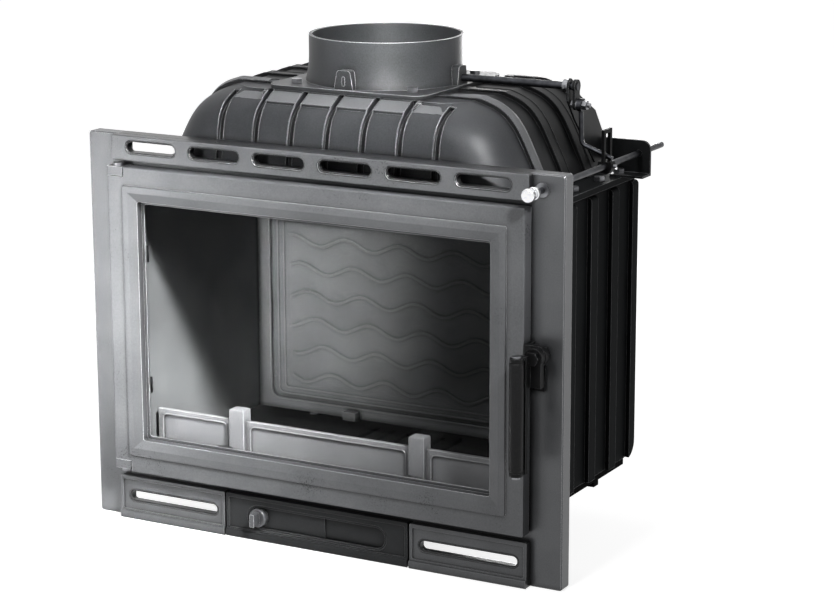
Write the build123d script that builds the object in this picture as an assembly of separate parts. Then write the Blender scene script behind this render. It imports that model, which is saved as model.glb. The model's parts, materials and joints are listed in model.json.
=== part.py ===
from build123d import *
import math
import os

# Cast-iron fireplace insert. X runs to the right, Y to the back, Z up.
# The origin is the middle of the face plate's lower front edge. All sizes are in millimetres.

# Face plate
face_width = 700.0
face_height = 527.0
face_plate = 8.0  # thickness of the flat plate
rim_depth = 20.0  # front to back size of the turned edge
rim_wall = 7.0
mouth_inset = 38.5  # raised field's edge to the mouth's side
mouth_bottom = 106.0
mouth_top = 452.0

# Raised field: the top grille, the door and the lower panels share its width
field_margin = 43.5  # plate's edge to the raised field
field_width = face_width - 2 * field_margin
bar_proud = 12.0
bar_height = 33.5
panel_height = 60.0
panel_gap = 3.0
drawer_front_width = 274.0
lip_proud = 3.0  # bullnose along the foot of the lower panels
lip_height = 11.5

# Slots in the grille and in the lower panels
grille_slots = 6
grille_pitch = 97.7
grille_slot_length = 75.0
grille_slot_height = 14.0
grille_slot_drop = 15.0  # slot centre below the top edge
panel_slot_length = 138.0
panel_slot_height = 12.5
panel_slot_z = 32.5
pull_inset = 34.5  # end of the drawer front to the finger recess
pull_length = drawer_front_width - 2 * pull_inset
pull_height = 28.0
pull_depth = 6.0
pull_z = 31.5

# Door
door_bottom = 70.5
door_top = 487.0
door_front = -23.0
door_back = -5.0
door_band = 24.0  # plain band outside the moulding
moulding_width = 22.5
moulding_head = 20.5
moulding_flat = 9.0
moulding_proud = 3.0
ledge_width = 4.5  # lip that the glass lies against
ledge_front = -13.0
rebate_front = -10.5
glass_thickness = 4.0
clip_share = 0.54  # how far from the middle of an edge a clip sits
glass_lap = 7.5
glass_clearance = 1.0
tape_thickness = 1.5
seal_inset = 18.5  # door edge to the rope's outer edge at the sides
seal_inset_ends = 17.2
seal_width = 10.0
seal_groove = 5.0
seat_gap = 0.3  # gap between pieces that only just clear each other

# Hinges
lug_width = 25.0
lug_height = 12.0
lug_corner = 1.0  # side gap between a lug and the door's notch
pin_inset = 13.0  # edge of the raised field to the hinge's axis
pin_x = pin_inset - field_width / 2
pin_y = -14.5
pin_radius = 4.0
pin_head_radius = 7.0
pin_head = 4.2
pin_reach = 16.0
running_gap = 0.06  # radial gap of a pin or shaft that turns

# Latch and handle
latch_outset = 17.0  # edge of the raised field to the latch bolt
latch_x = field_width / 2 + latch_outset
latch_z = 305.0
latch_eye = 12.5
latch_thickness = 8.6
latch_drop = 37.0
bracket_eye = 13.5
bracket_thickness = 8.1
latch_bolt_radius = 5.0
grip_x = latch_x - 11.5
grip_y = -53.5
grip_radius = 9.2
grip_bottom = 165.0
grip_top = 304.0
grip_ear = 5.0
grip_rod_radius = 3.0
bar_width = 12.0
bar_thickness = 6.0

# Body
wall = 6.0
body_inset = 50.0  # plate's edge to the side wall
body_half_width = face_width / 2 - body_inset  # without the ribs
body_back = 315.0  # outside of the back wall, without its ribs
body_bottom = 80.0
base_thickness = 8.0
wall_top = 470.0
rib_proud = 6.0
rib_width = 20.0
rib_pitch = 64.0
rib_first_y = 52.0
side_ribs = 5
back_ribs = 6
back_rib_pitch = 90.0
flange_thickness = 8.0

# Dome
dome_foot = body_half_width - 35.0  # half width at the foot
dome_front = 22.5
dome_back = 319.0
dome_corner = 66.0
dome_back_corner = 22.0
dome_rise = 112.0  # flange top to plateau
dome_wall = 7.0
groove_pitch = 53.0
groove_count = 7
groove_width = 8.0
groove_depth = 4.5
seat_front = 46.0
seat_bevel = 12.5
band_proud = 4.0

# Flue collar
flue_y = 184.0
flue_radius = 98.0  # bore
collar_radius = 102.0  # outside, on the straight top
collar_foot_radius = 106.3
collar_top = 656.5
collar_straight = 26.0
collar_plate = 232.0
collar_plate_thickness = 6.0
collar_bolt_offset = 86.0
boss_height = 25.0
boss_foot = 28.0
boss_head = 19.0
boss_reach = 113.0
boss_corner = 5.0

# Damper and its control
shaft_z = 605.0
shaft_radius = 5.0
blade_radius = 94.0
blade_half_width = 62.0
blade_thickness = 5.0
rod_x = face_width / 2 - 31.0
rod_z = face_height - 20.0
rod_radius = 4.0
rod_front = -20.0
rod_back = 357.0
stay_x = body_half_width - 34.0  # near face of the stay plate that holds the shaft's end
stay_thickness = 3.0
stay_y = 285.0
lever_radius = 3.0
crank_length = 23.0
driver_play = 3.4  # play of the lever in the driver's slot

# Lining and furniture
lining = 22.0
lining_top = wall_top - 40.0
fireback = 20.0
baffle_thickness = 10.0
baffle_front = 100.0
grate_width = 144.0
grate_front = 110.0
grate_back = 260.0
grate_slot = 9.0
grate_slots = 5
post_width = 22.0
post_depth = 18.0
post_x = 136.0
fireback_lug_x = 116.0
post_top = 167.0
fender_top = 151.0
fender_y = 20.0
fender_thickness = 6.0
fender_gap = 8.0  # at each end of the low wall

# Ash drawer
pan_half_width = 82.0
pan_bottom = 12.0
pan_top = 52.0
pan_front = 11.0
pan_back = 262.0
sheet = 2.0
knob_radius_gap = 1.5
knob_radius = 12.5
knob_x = knob_radius + knob_radius_gap - pull_length / 2
rivet_radius = 3.0
air_travel = 117.0
window_pitch = 26.0
track_half_width = drawer_front_width / 2 - 6  # pocket behind the recess for the air plate
track_height = 35.0
air_plate = 2.0
air_plate_end = 11.0  # right-hand end of the air plate when it is closed
window_radius = 8.0
window_x = [knob_x + 10.5 + window_pitch * index for index in range(3)]

# Feet
foot_x = 180.0
foot_y = 285.0
foot_bolt_radius = 6.0
foot_pad_radius = 18.0
foot_pad = 8.0

# Fasteners and corners that several pieces share
bolt_radius = 4.0
bolt_flats = 13.0
bolt_head = 5.5
tapped_depth = 5.0
toe_radius = 22.0  # hollow at the rear foot of the body
plate_corner = 20.0  # corner of the collar's plate and its seat

# Places that follow from the sizes above
half_field = field_width / 2
half_mouth = half_field - mouth_inset
bar_bottom = face_height - bar_height
half_drawer = drawer_front_width / 2
floor_z = body_bottom + base_thickness
flange_top = wall_top + flange_thickness
plateau = flange_top + dome_rise
plate_top = plateau + collar_plate_thickness
inner_side = body_half_width - wall
room_side = inner_side - lining
fender_half_width = room_side - fender_gap
back_inside = body_back - wall
room_back = back_inside - fireback
side_panel_width = half_field - half_drawer - panel_gap
panel_slot_x = half_field - side_panel_width / 2
bush_radius = rod_radius + 5.0

os.makedirs("parts", exist_ok=True)


def write(node, shape):
    export_step(shape, f"parts/{node}.step")


def block(x0, x1, y0, y1, z0, z1):
    size = Box(x1 - x0, y1 - y0, z1 - z0)
    return Pos((x0 + x1) / 2, (y0 + y1) / 2, (z0 + z1) / 2) * size


def upright(x0, x1, z0, z1, y0, y1, radius=0.0):
    # A plate standing in the X-Z plane, with rounded corners.
    place = Plane(origin=((x0 + x1) / 2, y1, (z0 + z1) / 2), x_dir=(1, 0, 0), z_dir=(0, -1, 0))
    if radius:
        outline = RectangleRounded(x1 - x0, z1 - z0, radius)
    else:
        outline = Rectangle(x1 - x0, z1 - z0)
    return extrude(place * outline, y1 - y0)


def flat(x0, x1, y0, y1, z0, z1, radius):
    # A plate lying in the X-Y plane, with rounded corners.
    place = Plane(origin=((x0 + x1) / 2, (y0 + y1) / 2, z0))
    return extrude(place * RectangleRounded(x1 - x0, y1 - y0, radius), z1 - z0)


def slot(x, z, length, height, y0, y1):
    # A round-ended slot through the X-Z plane.
    return upright(x - length / 2, x + length / 2, z - height / 2, z + height / 2, y0, y1,
                   height / 2 - 0.01)


def rod_along_x(x0, x1, y, z, radius):
    return Pos((x0 + x1) / 2, y, z) * Rot(0, 90, 0) * Cylinder(radius, x1 - x0)


def rod_along_y(y0, y1, x, z, radius):
    return Pos(x, (y0 + y1) / 2, z) * Rot(90, 0, 0) * Cylinder(radius, y1 - y0)


def rod_along_z(z0, z1, x, y, radius):
    return Pos(x, y, (z0 + z1) / 2) * Cylinder(radius, z1 - z0)


def hexagon_along_x(x0, x1, y, z, flats):
    place = Plane(origin=(x0, y, z), x_dir=(0, 1, 0), z_dir=(1, 0, 0))
    return extrude(place * RegularPolygon(flats / 2, 6, major_radius=False), x1 - x0)


def hexagon_along_y(y0, y1, x, z, flats):
    place = Plane(origin=(x, y1, z), x_dir=(1, 0, 0), z_dir=(0, -1, 0))
    return extrude(place * RegularPolygon(flats / 2, 6, major_radius=False), y1 - y0)


def hexagon_along_z(z0, z1, x, y, flats):
    place = Plane(origin=(x, y, z0))
    return extrude(place * RegularPolygon(flats / 2, 6, major_radius=False), z1 - z0)


def profile_x(points, x0, x1):
    # An outline given in (y, z), pushed along X.
    place = Plane(origin=(x0, 0, 0), x_dir=(0, 1, 0), z_dir=(1, 0, 0))
    return extrude(place * Polygon(*points, align=None), x1 - x0, dir=(1, 0, 0))


def profile_y(points, y0, y1):
    # An outline given in (x, z), pushed along Y.
    place = Plane(origin=(0, y1, 0), x_dir=(1, 0, 0), z_dir=(0, -1, 0))
    return extrude(place * Polygon(*points, align=None), y1 - y0, dir=(0, -1, 0))


def group(solids):
    # Separate solids kept in one node.
    return Compound(children=[Solid(s.solid().wrapped) for s in solids])


# Face plate


def make_front_frame():
    half = face_width / 2
    frame = upright(-half, half, 0, face_height, 0, rim_depth, 4)
    hollow = upright(-half + rim_wall, half - rim_wall, rim_wall, face_height - rim_wall,
                     face_plate, rim_depth, 3)
    frame -= hollow
    frame = chamfer(frame.faces().sort_by(Axis.Y)[0].outer_wire().edges(), 1.5)
    frame -= upright(-half_mouth, half_mouth, mouth_bottom, mouth_top, 0, face_plate, 12)
    # Ways for the room air behind the grille, the drawer and the two lower panels
    slot_z = face_height - grille_slot_drop
    reach = grille_pitch * (grille_slots - 1) / 2 + grille_slot_length / 2 + 4
    window = grille_slot_height / 2 + 1
    frame -= upright(-reach, reach, slot_z - window, slot_z + window, 0, face_plate, 3)
    frame -= upright(-pan_half_width - 8, pan_half_width + 8, pan_bottom - 6, pan_top + 5, 0,
                     face_plate, 3)
    for side in (-1, 1):
        x = side * panel_slot_x
        grow = 4
        frame -= upright(x - panel_slot_length / 2 - grow, x + panel_slot_length / 2 + grow,
                         panel_slot_z - panel_slot_height / 2 - grow,
                         panel_slot_z + panel_slot_height / 2 + grow, 0, face_plate, 3)
    # Way for the damper's control rod
    frame -= rod_along_y(0, face_plate, rod_x, rod_z, bush_radius)
    return frame


def make_top_grille():
    bar = upright(-half_field, half_field, bar_bottom, face_height, -bar_proud, 0, 3)
    bar = fillet(bar.faces().sort_by(Axis.Y)[0].outer_wire().edges(), 1.2)
    slot_z = face_height - grille_slot_drop
    for index in range(grille_slots):
        x = (index - (grille_slots - 1) / 2) * grille_pitch
        bar -= slot(x, slot_z, grille_slot_length, grille_slot_height, -bar_proud, 0)
        dish = slot(x, slot_z, grille_slot_length + 3, grille_slot_height + 3, -bar_proud,
                    -bar_proud + 1.5)
        bar -= dish
    return bar


def make_lower_panel(x0, x1, bottom):
    # Front with a sunk field, a bevelled frame and a bullnose foot.
    panel = upright(x0, x1, bottom, panel_height, -bar_proud, 0, 1.5)
    field = upright(x0 + 4, x1 - 4, lip_height + 2, panel_height - 5, -bar_proud,
                    -bar_proud + 2, 2)
    panel -= field
    foot = block(x0, x1, -bar_proud - lip_proud, -bar_proud, bottom, lip_height)
    foot = fillet(foot.edges().filter_by(Axis.X).group_by(Axis.Y)[0], lip_proud - 0.2)
    return panel + foot


def make_side_panel(side):
    edge = half_field - side_panel_width
    low, high = sorted((side * edge, side * half_field))
    panel = make_lower_panel(low, high, 0)
    x = side * panel_slot_x
    panel -= slot(x, panel_slot_z, panel_slot_length, panel_slot_height, -bar_proud, 0)
    panel -= slot(x, panel_slot_z, panel_slot_length + 4, panel_slot_height + 4,
                  -bar_proud, -bar_proud + 3.5)
    return panel


# Door

moulding_x = half_field - door_band
moulding_z0 = door_bottom + door_band
moulding_z1 = door_top - door_band
opening_x = moulding_x - moulding_width
opening_z0 = moulding_z0 + moulding_width
opening_z1 = moulding_z1 - moulding_head
ledge_x = opening_x - ledge_width
ledge_z0 = opening_z0 + ledge_width
ledge_z1 = opening_z1 - ledge_width
glass_x = ledge_x + glass_lap
glass_z0 = ledge_z0 - glass_lap
glass_z1 = ledge_z1 + glass_lap
glass_front = rebate_front + tape_thickness
glass_back = glass_front + glass_thickness  # flush with the door's back
seal_x = half_field - seal_inset
seal_z0 = door_bottom + seal_inset_ends
seal_z1 = door_top - seal_inset_ends
lug_edge = -half_field + lug_width
lug_top_z = door_top
lug_sweep = math.hypot(lug_edge - pin_x, pin_y - door_front) + 0.5
lug_low_z = door_bottom + 3.0


def ring(x, z0, z1, width, y0, y1, radius):
    outer = upright(-x, x, z0, z1, y0, y1, radius)
    inner = upright(-x + width, x - width, z0 + width, z1 - width, y0, y1, radius - width / 2)
    return outer - inner


def clip_places():
    # Middle of each glass clip on the edge of the rebate, and the turn that points it inwards.
    middle_z = (glass_z0 + glass_z1) / 2
    half_height = (glass_z1 - glass_z0) / 2
    places = []
    for share in (-clip_share, clip_share):
        places.append((glass_x, middle_z + share * half_height, 0))
        places.append((-glass_x, middle_z + share * half_height, 180))
        places.append((share * glass_x, glass_z1, 270))
        places.append((share * glass_x, glass_z0, 90))
    return places


clip_screw_offset = 8.0
clip_screw_radius = 2.5
clip_screw_depth = 7.0
clip_sheet = 1.8
clip_width = 22.0
clip_reach = 7.0  # lap over the glass
clip_tail = 12.0


def at_clip(place, shape):
    # Turn about Y so that local +X points outwards from the glass.
    x, z, turn = place
    return Pos(x, 0, z) * Rot(0, turn, 0) * shape


def make_door_frame():
    door = upright(-half_field, half_field, door_bottom, door_top, door_front, door_back, 2)
    door = fillet(door.faces().sort_by(Axis.Y)[0].outer_wire().edges(), 1.5)
    front = door_front - moulding_proud
    rim = upright(-moulding_x, moulding_x, moulding_z0, moulding_z1, front, door_front, 3)
    rim = fillet(rim.faces().sort_by(Axis.Y)[0].outer_wire().edges(), 1.5)
    door += rim
    # The moulding's inner slope falls from its flat to the opening's edge.
    near = Plane(origin=(0, front, (opening_z0 + opening_z1) / 2), x_dir=(1, 0, 0),
                 z_dir=(0, -1, 0))
    far = near.offset(-moulding_proud)
    slope_x = moulding_width - moulding_flat
    slope_z = opening_z1 - opening_z0
    mouth = Sketch() + far * Rectangle(2 * opening_x, slope_z)
    brim = Sketch() + near * Rectangle(2 * (opening_x + slope_x), slope_z + 2 * slope_x - 4)
    door -= loft([mouth.face(), brim.face()], ruled=True)
    door -= upright(-opening_x, opening_x, opening_z0, opening_z1, front, ledge_front, 3)
    door -= upright(-ledge_x, ledge_x, ledge_z0, ledge_z1, ledge_front, door_back, 3)
    gap = glass_clearance
    door -= upright(-glass_x - gap, glass_x + gap, glass_z0 - gap, glass_z1 + gap,
                    rebate_front, door_back, 4)
    door -= ring(seal_x, seal_z0, seal_z1, seal_width, door_back - seal_groove, door_back, 12)
    # Notches for the hinge lugs, and the pins' bores
    notch_x = lug_edge + lug_corner
    door -= block(-half_field, notch_x, front, door_back, lug_top_z - lug_height - lug_corner,
                  door_top)
    door -= block(-half_field, notch_x, front, door_back, door_bottom,
                  lug_low_z + lug_height + seat_gap)
    # Behind each notch a round relief lets the corner of the lug pass as the door swings.
    for z0, z1 in ((lug_top_z - lug_height - lug_corner, door_top),
                   (door_bottom, lug_low_z + lug_height + seat_gap)):
        door -= rod_along_z(z0, z1, pin_x, pin_y, lug_sweep)
    bore = pin_radius + running_gap
    door -= rod_along_z(lug_top_z - lug_height - pin_reach - 2, door_top, pin_x, pin_y, bore)
    door -= rod_along_z(door_bottom, lug_low_z + lug_height + pin_reach + 2, pin_x, pin_y, bore)
    # The rear hinge corner is rounded about the pin, so that the door swings clear of the plate.
    swing = -pin_y - 0.6
    corner = block(-half_field, pin_x, pin_y, door_back, door_bottom, door_top)
    corner -= rod_along_z(door_bottom, door_top, pin_x, pin_y, swing)
    door -= corner
    for place in clip_places():
        hole = rod_along_y(door_back - clip_screw_depth, door_back, clip_screw_offset, 0,
                           clip_screw_radius)
        door -= at_clip(place, hole)
    for z in bracket_screw_z:
        door -= rod_along_y(door_back - clip_screw_depth, door_back, bracket_screw_x, z,
                            clip_screw_radius)
    return door


def make_glass_tape():
    return ring(glass_x, glass_z0, glass_z1, glass_lap - 1, rebate_front, glass_front, 4)


def make_door_glass():
    return upright(-glass_x, glass_x, glass_z0, glass_z1, glass_front, glass_back, 3)


def make_glass_clip():
    half = clip_width / 2
    clip = block(-clip_reach, clip_tail, door_back, door_back + clip_sheet, -half, half)
    return clip - rod_along_y(door_back, door_back + clip_sheet, clip_screw_offset, 0,
                              clip_screw_radius)


def make_clip_screw():
    face = door_back + clip_sheet
    head = rod_along_y(face, face + 2.3, clip_screw_offset, 0, 3.8)
    shank = rod_along_y(door_back - clip_screw_depth, face, clip_screw_offset, 0,
                        clip_screw_radius)
    return head + shank


def make_door_seal():
    return ring(seal_x, seal_z0, seal_z1, seal_width, door_back - seal_groove, -seat_gap, 12)


def make_hinge_lug(z):
    lug = block(-half_field, lug_edge, door_front, 0, z, z + lug_height)
    lug = fillet(lug.edges().filter_by(Axis.Z).group_by(Axis.Y)[0], 1.5)
    return lug - rod_along_z(z, z + lug_height, pin_x, pin_y, pin_radius)


def make_hinge_pin(z_face, way):
    # The head sits on the lug's outer face; way is 1 for a pin that points up, -1 for down.
    ends = sorted((z_face, z_face + way * (lug_height + pin_reach)))
    head_ends = sorted((z_face, z_face - way * pin_head))
    return (rod_along_z(*ends, pin_x, pin_y, pin_radius)
            + rod_along_z(*head_ends, pin_x, pin_y, pin_head_radius))


# Latch

bracket_front = door_front - 0.1
bracket_back = bracket_front + bracket_thickness
tongue = 3.0
tongue_x0 = seal_x + 2.0
bracket_screw_x = (tongue_x0 + half_field) / 2
bracket_screw_z = (latch_z - 9.0, latch_z + 9.0)
lever_back = bracket_front - seat_gap
lever_front = lever_back - latch_thickness
cam_front = bracket_back + seat_gap
cam_thickness = 6.6
cam_back = cam_front + cam_thickness
bolt_end = -2.2
cam_offset = 0.5  # the finger's right side is this far left of the bolt
cam_finger = 8.0
cam_drop = 31.0
cam_finger_x = latch_x - cam_offset
keeper_gap = 1.0
keeper_post = 5.5
keeper_depth = 20.0
grip_bar_back = lever_front - 6.0
grip_bar_front = grip_bar_back - bar_thickness


def make_latch_bracket():
    # Ear beside the door, a web past the door's edge and a tongue screwed to its back.
    web = 4.5
    inner = half_field + 0.4
    ear = rod_along_y(bracket_front, bracket_back, latch_x, latch_z, bracket_eye)
    ear += block(inner, latch_x, bracket_front, bracket_back, latch_z - bracket_eye,
                 latch_z + bracket_eye)
    side = block(inner, inner + web, bracket_front, door_back + tongue,
                 latch_z - bracket_eye, latch_z + bracket_eye)
    back = block(tongue_x0, inner + web, door_back, door_back + tongue,
                 latch_z - bracket_eye, latch_z + bracket_eye)
    bracket = ear + side + back
    bracket -= rod_along_y(bracket_front, bracket_back, latch_x, latch_z,
                           latch_bolt_radius + running_gap)
    for z in bracket_screw_z:
        bracket -= rod_along_y(door_back, door_back + tongue, bracket_screw_x, z,
                               clip_screw_radius)
    return bracket


def make_bracket_screw(z):
    face = door_back + tongue
    head = rod_along_y(face, face + 1.6, bracket_screw_x, z, 4.0)
    shank = rod_along_y(door_back - clip_screw_depth, face, bracket_screw_x, z,
                        clip_screw_radius)
    return head + shank


def make_latch_lever():
    # Eye and tail, a bridge, and the bar behind the grip with an ear at each end.
    lever = rod_along_y(lever_front, lever_back, latch_x, latch_z, latch_eye)
    lever += block(latch_x - latch_eye, latch_x + latch_eye - 2, lever_front, lever_back,
                   latch_z - latch_drop, latch_z)
    bar_left = grip_x - bar_width / 2
    bar_right = grip_x + bar_width / 2
    lever += block(bar_left + 4, bar_right + 2, grip_bar_back, lever_front,
                   latch_z - latch_drop, latch_z - 10)
    lever += block(bar_left, bar_right + 2, grip_bar_front, grip_bar_back,
                   grip_bottom - grip_ear, grip_top + grip_ear)
    for z0 in (grip_bottom - grip_ear, grip_top):
        ear = rod_along_z(z0, z0 + grip_ear, grip_x, grip_y, grip_radius - 0.7)
        ear += block(bar_left, bar_right, grip_y, grip_bar_back, z0, z0 + grip_ear)
        lever += ear
        lever -= rod_along_z(z0, z0 + grip_ear, grip_x, grip_y, grip_rod_radius)
    lever -= rod_along_y(lever_front, lever_back, latch_x, latch_z, latch_bolt_radius)
    return lever


def make_handle_grip():
    grip = rod_along_z(grip_bottom, grip_top, grip_x, grip_y, grip_radius)
    grip = fillet(grip.edges().filter_by(GeomType.CIRCLE), 1.2)
    return grip - rod_along_z(grip_bottom, grip_top, grip_x, grip_y, grip_rod_radius)


def make_grip_rod():
    low = grip_bottom - grip_ear
    high = grip_top + grip_ear
    shank = rod_along_z(low, high, grip_x, grip_y, grip_rod_radius)
    head = rod_along_z(high, high + 2.5, grip_x, grip_y, 5.5)
    nut = hexagon_along_z(low - 3.5, low, grip_x, grip_y, 10)
    return shank + head + nut


def make_latch_bolt():
    head = hexagon_along_y(lever_front - 5.6, lever_front, latch_x, latch_z, 16)
    shank = rod_along_y(lever_front, bolt_end, latch_x, latch_z, latch_bolt_radius)
    return head + shank


def make_latch_cam():
    hub = rod_along_y(cam_front, cam_back, latch_x, latch_z, cam_finger + cam_offset)
    finger = block(cam_finger_x - cam_finger, cam_finger_x, cam_front, cam_back,
                   latch_z - cam_drop, latch_z)
    cam = hub + finger
    return cam - rod_along_y(cam_front, cam_back, latch_x, latch_z, latch_bolt_radius)


def make_latch_nut():
    nut = hexagon_along_y(cam_back, bolt_end, latch_x, latch_z, 15)
    return nut - rod_along_y(cam_back, bolt_end, latch_x, latch_z, latch_bolt_radius)


def make_latch_keeper():
    # Foot on the face plate and a post that the cam's finger stops against.
    x = cam_finger_x - cam_finger - keeper_gap
    top = latch_z - bracket_eye - 2.5
    low = latch_z - cam_drop - 6
    foot = upright(x - keeper_post, x + 12, low - 12, top, -3, 0, 1.5)
    post = block(x - keeper_post, x, -keeper_depth, 0, low, top)
    return foot + post


# Damper


def make_collar():
    y = flue_y
    base = flat(-collar_plate / 2, collar_plate / 2, y - collar_plate / 2, y + collar_plate / 2,
                plateau, plate_top, plate_corner)
    # The outside flares down from the straight top in one arc.
    shoulder = (collar_radius, collar_top - collar_straight)
    foot = (collar_foot_radius, plate_top)
    outline = Wire([TangentArc(shoulder, foot, tangent=(0, -1)).edge(),
                    Line(foot, (0, plate_top)).edge(),
                    Line((0, plate_top), (0, collar_top)).edge(),
                    Line((0, collar_top), (collar_radius, collar_top)).edge(),
                    Line((collar_radius, collar_top), shoulder).edge()])
    half_section = Plane(origin=(0, y, 0), x_dir=(1, 0, 0), z_dir=(0, -1, 0)) * make_face(outline)
    tube = revolve(half_section, Axis((0, y, 0), (0, 0, 1)), 360)
    boss = profile_y([(-boss_foot / 2, plate_top), (boss_foot / 2, plate_top),
                      (boss_head / 2, plate_top + boss_height),
                      (-boss_head / 2, plate_top + boss_height)], -boss_reach, -blade_radius)
    boss = fillet(boss.edges().filter_by(Axis.Y).group_by(Axis.Z)[-1], boss_corner)
    collar = base + tube
    for turn in range(4):
        collar += Pos(0, y, 0) * Rot(0, 0, 90 * turn) * boss
    collar -= rod_along_z(plateau, collar_top, 0, y, flue_radius)
    collar -= rod_along_x(-boss_reach, boss_reach, y, shaft_z, shaft_radius + running_gap)
    for x in (-collar_bolt_offset, collar_bolt_offset):
        for side in (-collar_bolt_offset, collar_bolt_offset):
            collar -= rod_along_z(plateau, plate_top, x, y + side, bolt_radius)
    return collar


def make_collar_bolt(x, y):
    head = hexagon_along_z(plate_top, plate_top + bolt_head, x, y, bolt_flats)
    shank = rod_along_z(plateau - tapped_depth, plate_top, x, y, bolt_radius)
    return head + shank


def make_damper_blade():
    blade = rod_along_z(shaft_z - blade_thickness / 2, shaft_z + blade_thickness / 2, 0, flue_y,
                        blade_radius)
    reach = blade_radius + 1
    blade &= block(-reach, reach, flue_y - blade_half_width, flue_y + blade_half_width,
                   shaft_z - 10, shaft_z + 10)
    boss = blade_radius - 24
    blade += rod_along_x(-boss, boss, flue_y, shaft_z, shaft_radius + 3)
    return blade - rod_along_x(-reach, reach, flue_y, shaft_z, shaft_radius)


crank_x = stay_x + stay_thickness + 4.4
crank_thickness = 4.0
eye_x = crank_x + crank_thickness + 2.0
crank_z = shaft_z - crank_length
shaft_left = -boss_reach - 4
shaft_right = crank_x + crank_thickness + 1


def make_damper_shaft():
    return rod_along_x(shaft_left, shaft_right, flue_y, shaft_z, shaft_radius)


def make_shaft_collar():
    end = stay_x - seat_gap
    sleeve = rod_along_x(end - 7, end, flue_y, shaft_z, shaft_radius + 3)
    screw = rod_along_y(flue_y - shaft_radius - 5.5, flue_y - shaft_radius, end - 3.5, shaft_z, 2)
    return (sleeve + screw) - rod_along_x(end - 7, end, flue_y, shaft_z, shaft_radius)


def make_damper_crank():
    x1 = crank_x + crank_thickness
    crank = rod_along_x(crank_x, x1, flue_y, shaft_z, shaft_radius + 4)
    crank += rod_along_x(crank_x, x1, flue_y, crank_z, lever_radius + 4.5)
    crank += block(crank_x, x1, flue_y - 7, flue_y + 7, crank_z, shaft_z)
    crank -= rod_along_x(crank_x, x1, flue_y, shaft_z, shaft_radius)
    return crank - rod_along_x(crank_x, x1, flue_y, crank_z, lever_radius)


def make_lever_bolt():
    head = hexagon_along_x(crank_x - 3.6, crank_x, flue_y, crank_z, 10)
    nut_face = eye_x + 2 * lever_radius
    shank = rod_along_x(crank_x, nut_face + 10, flue_y, crank_z, lever_radius)
    washer = rod_along_x(crank_x + crank_thickness, eye_x, flue_y, crank_z, 7)
    nut = hexagon_along_x(nut_face, nut_face + 6, flue_y, crank_z, 11)
    return head + shank + washer + nut


def make_damper_lever():
    # Round wire: an eye on the crank's bolt, a straight drop, and a foot through the driver.
    x = eye_x + lever_radius
    eye = rod_along_x(eye_x, eye_x + 2 * lever_radius, flue_y, crank_z, lever_radius + 5.5)
    route = FilletPolyline((x, flue_y, crank_z - 5), (x + 1.5, flue_y, rod_z + 25),
                           (rod_x + 8, flue_y, rod_z + 9.5), radius=9)
    start = Plane(origin=route @ 0, z_dir=route % 0)
    wire = sweep(start * Circle(lever_radius), path=route)
    lever = eye + wire
    return lever - rod_along_x(eye_x, eye_x + 2 * lever_radius, flue_y, crank_z, lever_radius)


def make_rod_driver():
    # Clamping ring on the rod with a slotted tab that the lever's foot passes through.
    thick = 4.0
    play = lever_radius + driver_play
    ring_part = rod_along_y(flue_y - 6, flue_y + 6, rod_x, rod_z, rod_radius + 6)
    tab = block(rod_x - thick / 2, rod_x + thick / 2, flue_y - play - 5.5, flue_y + play + 5.5,
                rod_z, rod_z + 47)
    tab -= block(rod_x - thick / 2, rod_x + thick / 2, flue_y - play, flue_y + play,
                 rod_z + 5.5, rod_z + 42)
    driver = ring_part + tab
    driver -= rod_along_y(flue_y - 20, flue_y + 20, rod_x, rod_z, rod_radius)
    driver -= block(rod_x - 12, rod_x + 12, flue_y - play, flue_y + play, rod_z + 5.5,
                    rod_z + 12)
    return driver - rod_along_x(rod_x + rod_radius - 1, rod_x + 12, flue_y, rod_z, 2.5)


def make_driver_screw():
    screw = rod_along_x(rod_x, rod_x + rod_radius + 9.5, flue_y, rod_z, 2.5)
    return screw - rod_along_y(flue_y - 6, flue_y + 6, rod_x, rod_z, rod_radius)


def make_control_rod():
    return rod_along_y(rod_front, rod_back, rod_x, rod_z, rod_radius)


def make_control_knob():
    # Turned knob: domed head, neck and a shoulder.
    head = rod_along_y(-43, -34, rod_x, rod_z, 8.7)
    head = fillet(head.edges().filter_by(GeomType.CIRCLE), 2.4)
    neck = rod_along_y(-34.5, -26.5, rod_x, rod_z, 5.5)
    shoulder = rod_along_y(-27, rod_front, rod_x, rod_z, 8.2)
    shoulder = fillet(shoulder.edges().filter_by(GeomType.CIRCLE), 1.5)
    return head + neck + shoulder


def make_rod_bush():
    bush = rod_along_y(-2, face_plate + 4, rod_x, rod_z, bush_radius)
    return bush - rod_along_y(-2, face_plate + 4, rod_x, rod_z, rod_radius + running_gap)


stay_right = rod_x + 16.0
stay_foot_left = body_half_width - 12.0
stay_foot_depth = 24.0
stay_top = rod_z + 17.0
stay_sill = flange_top + 17.0


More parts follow.
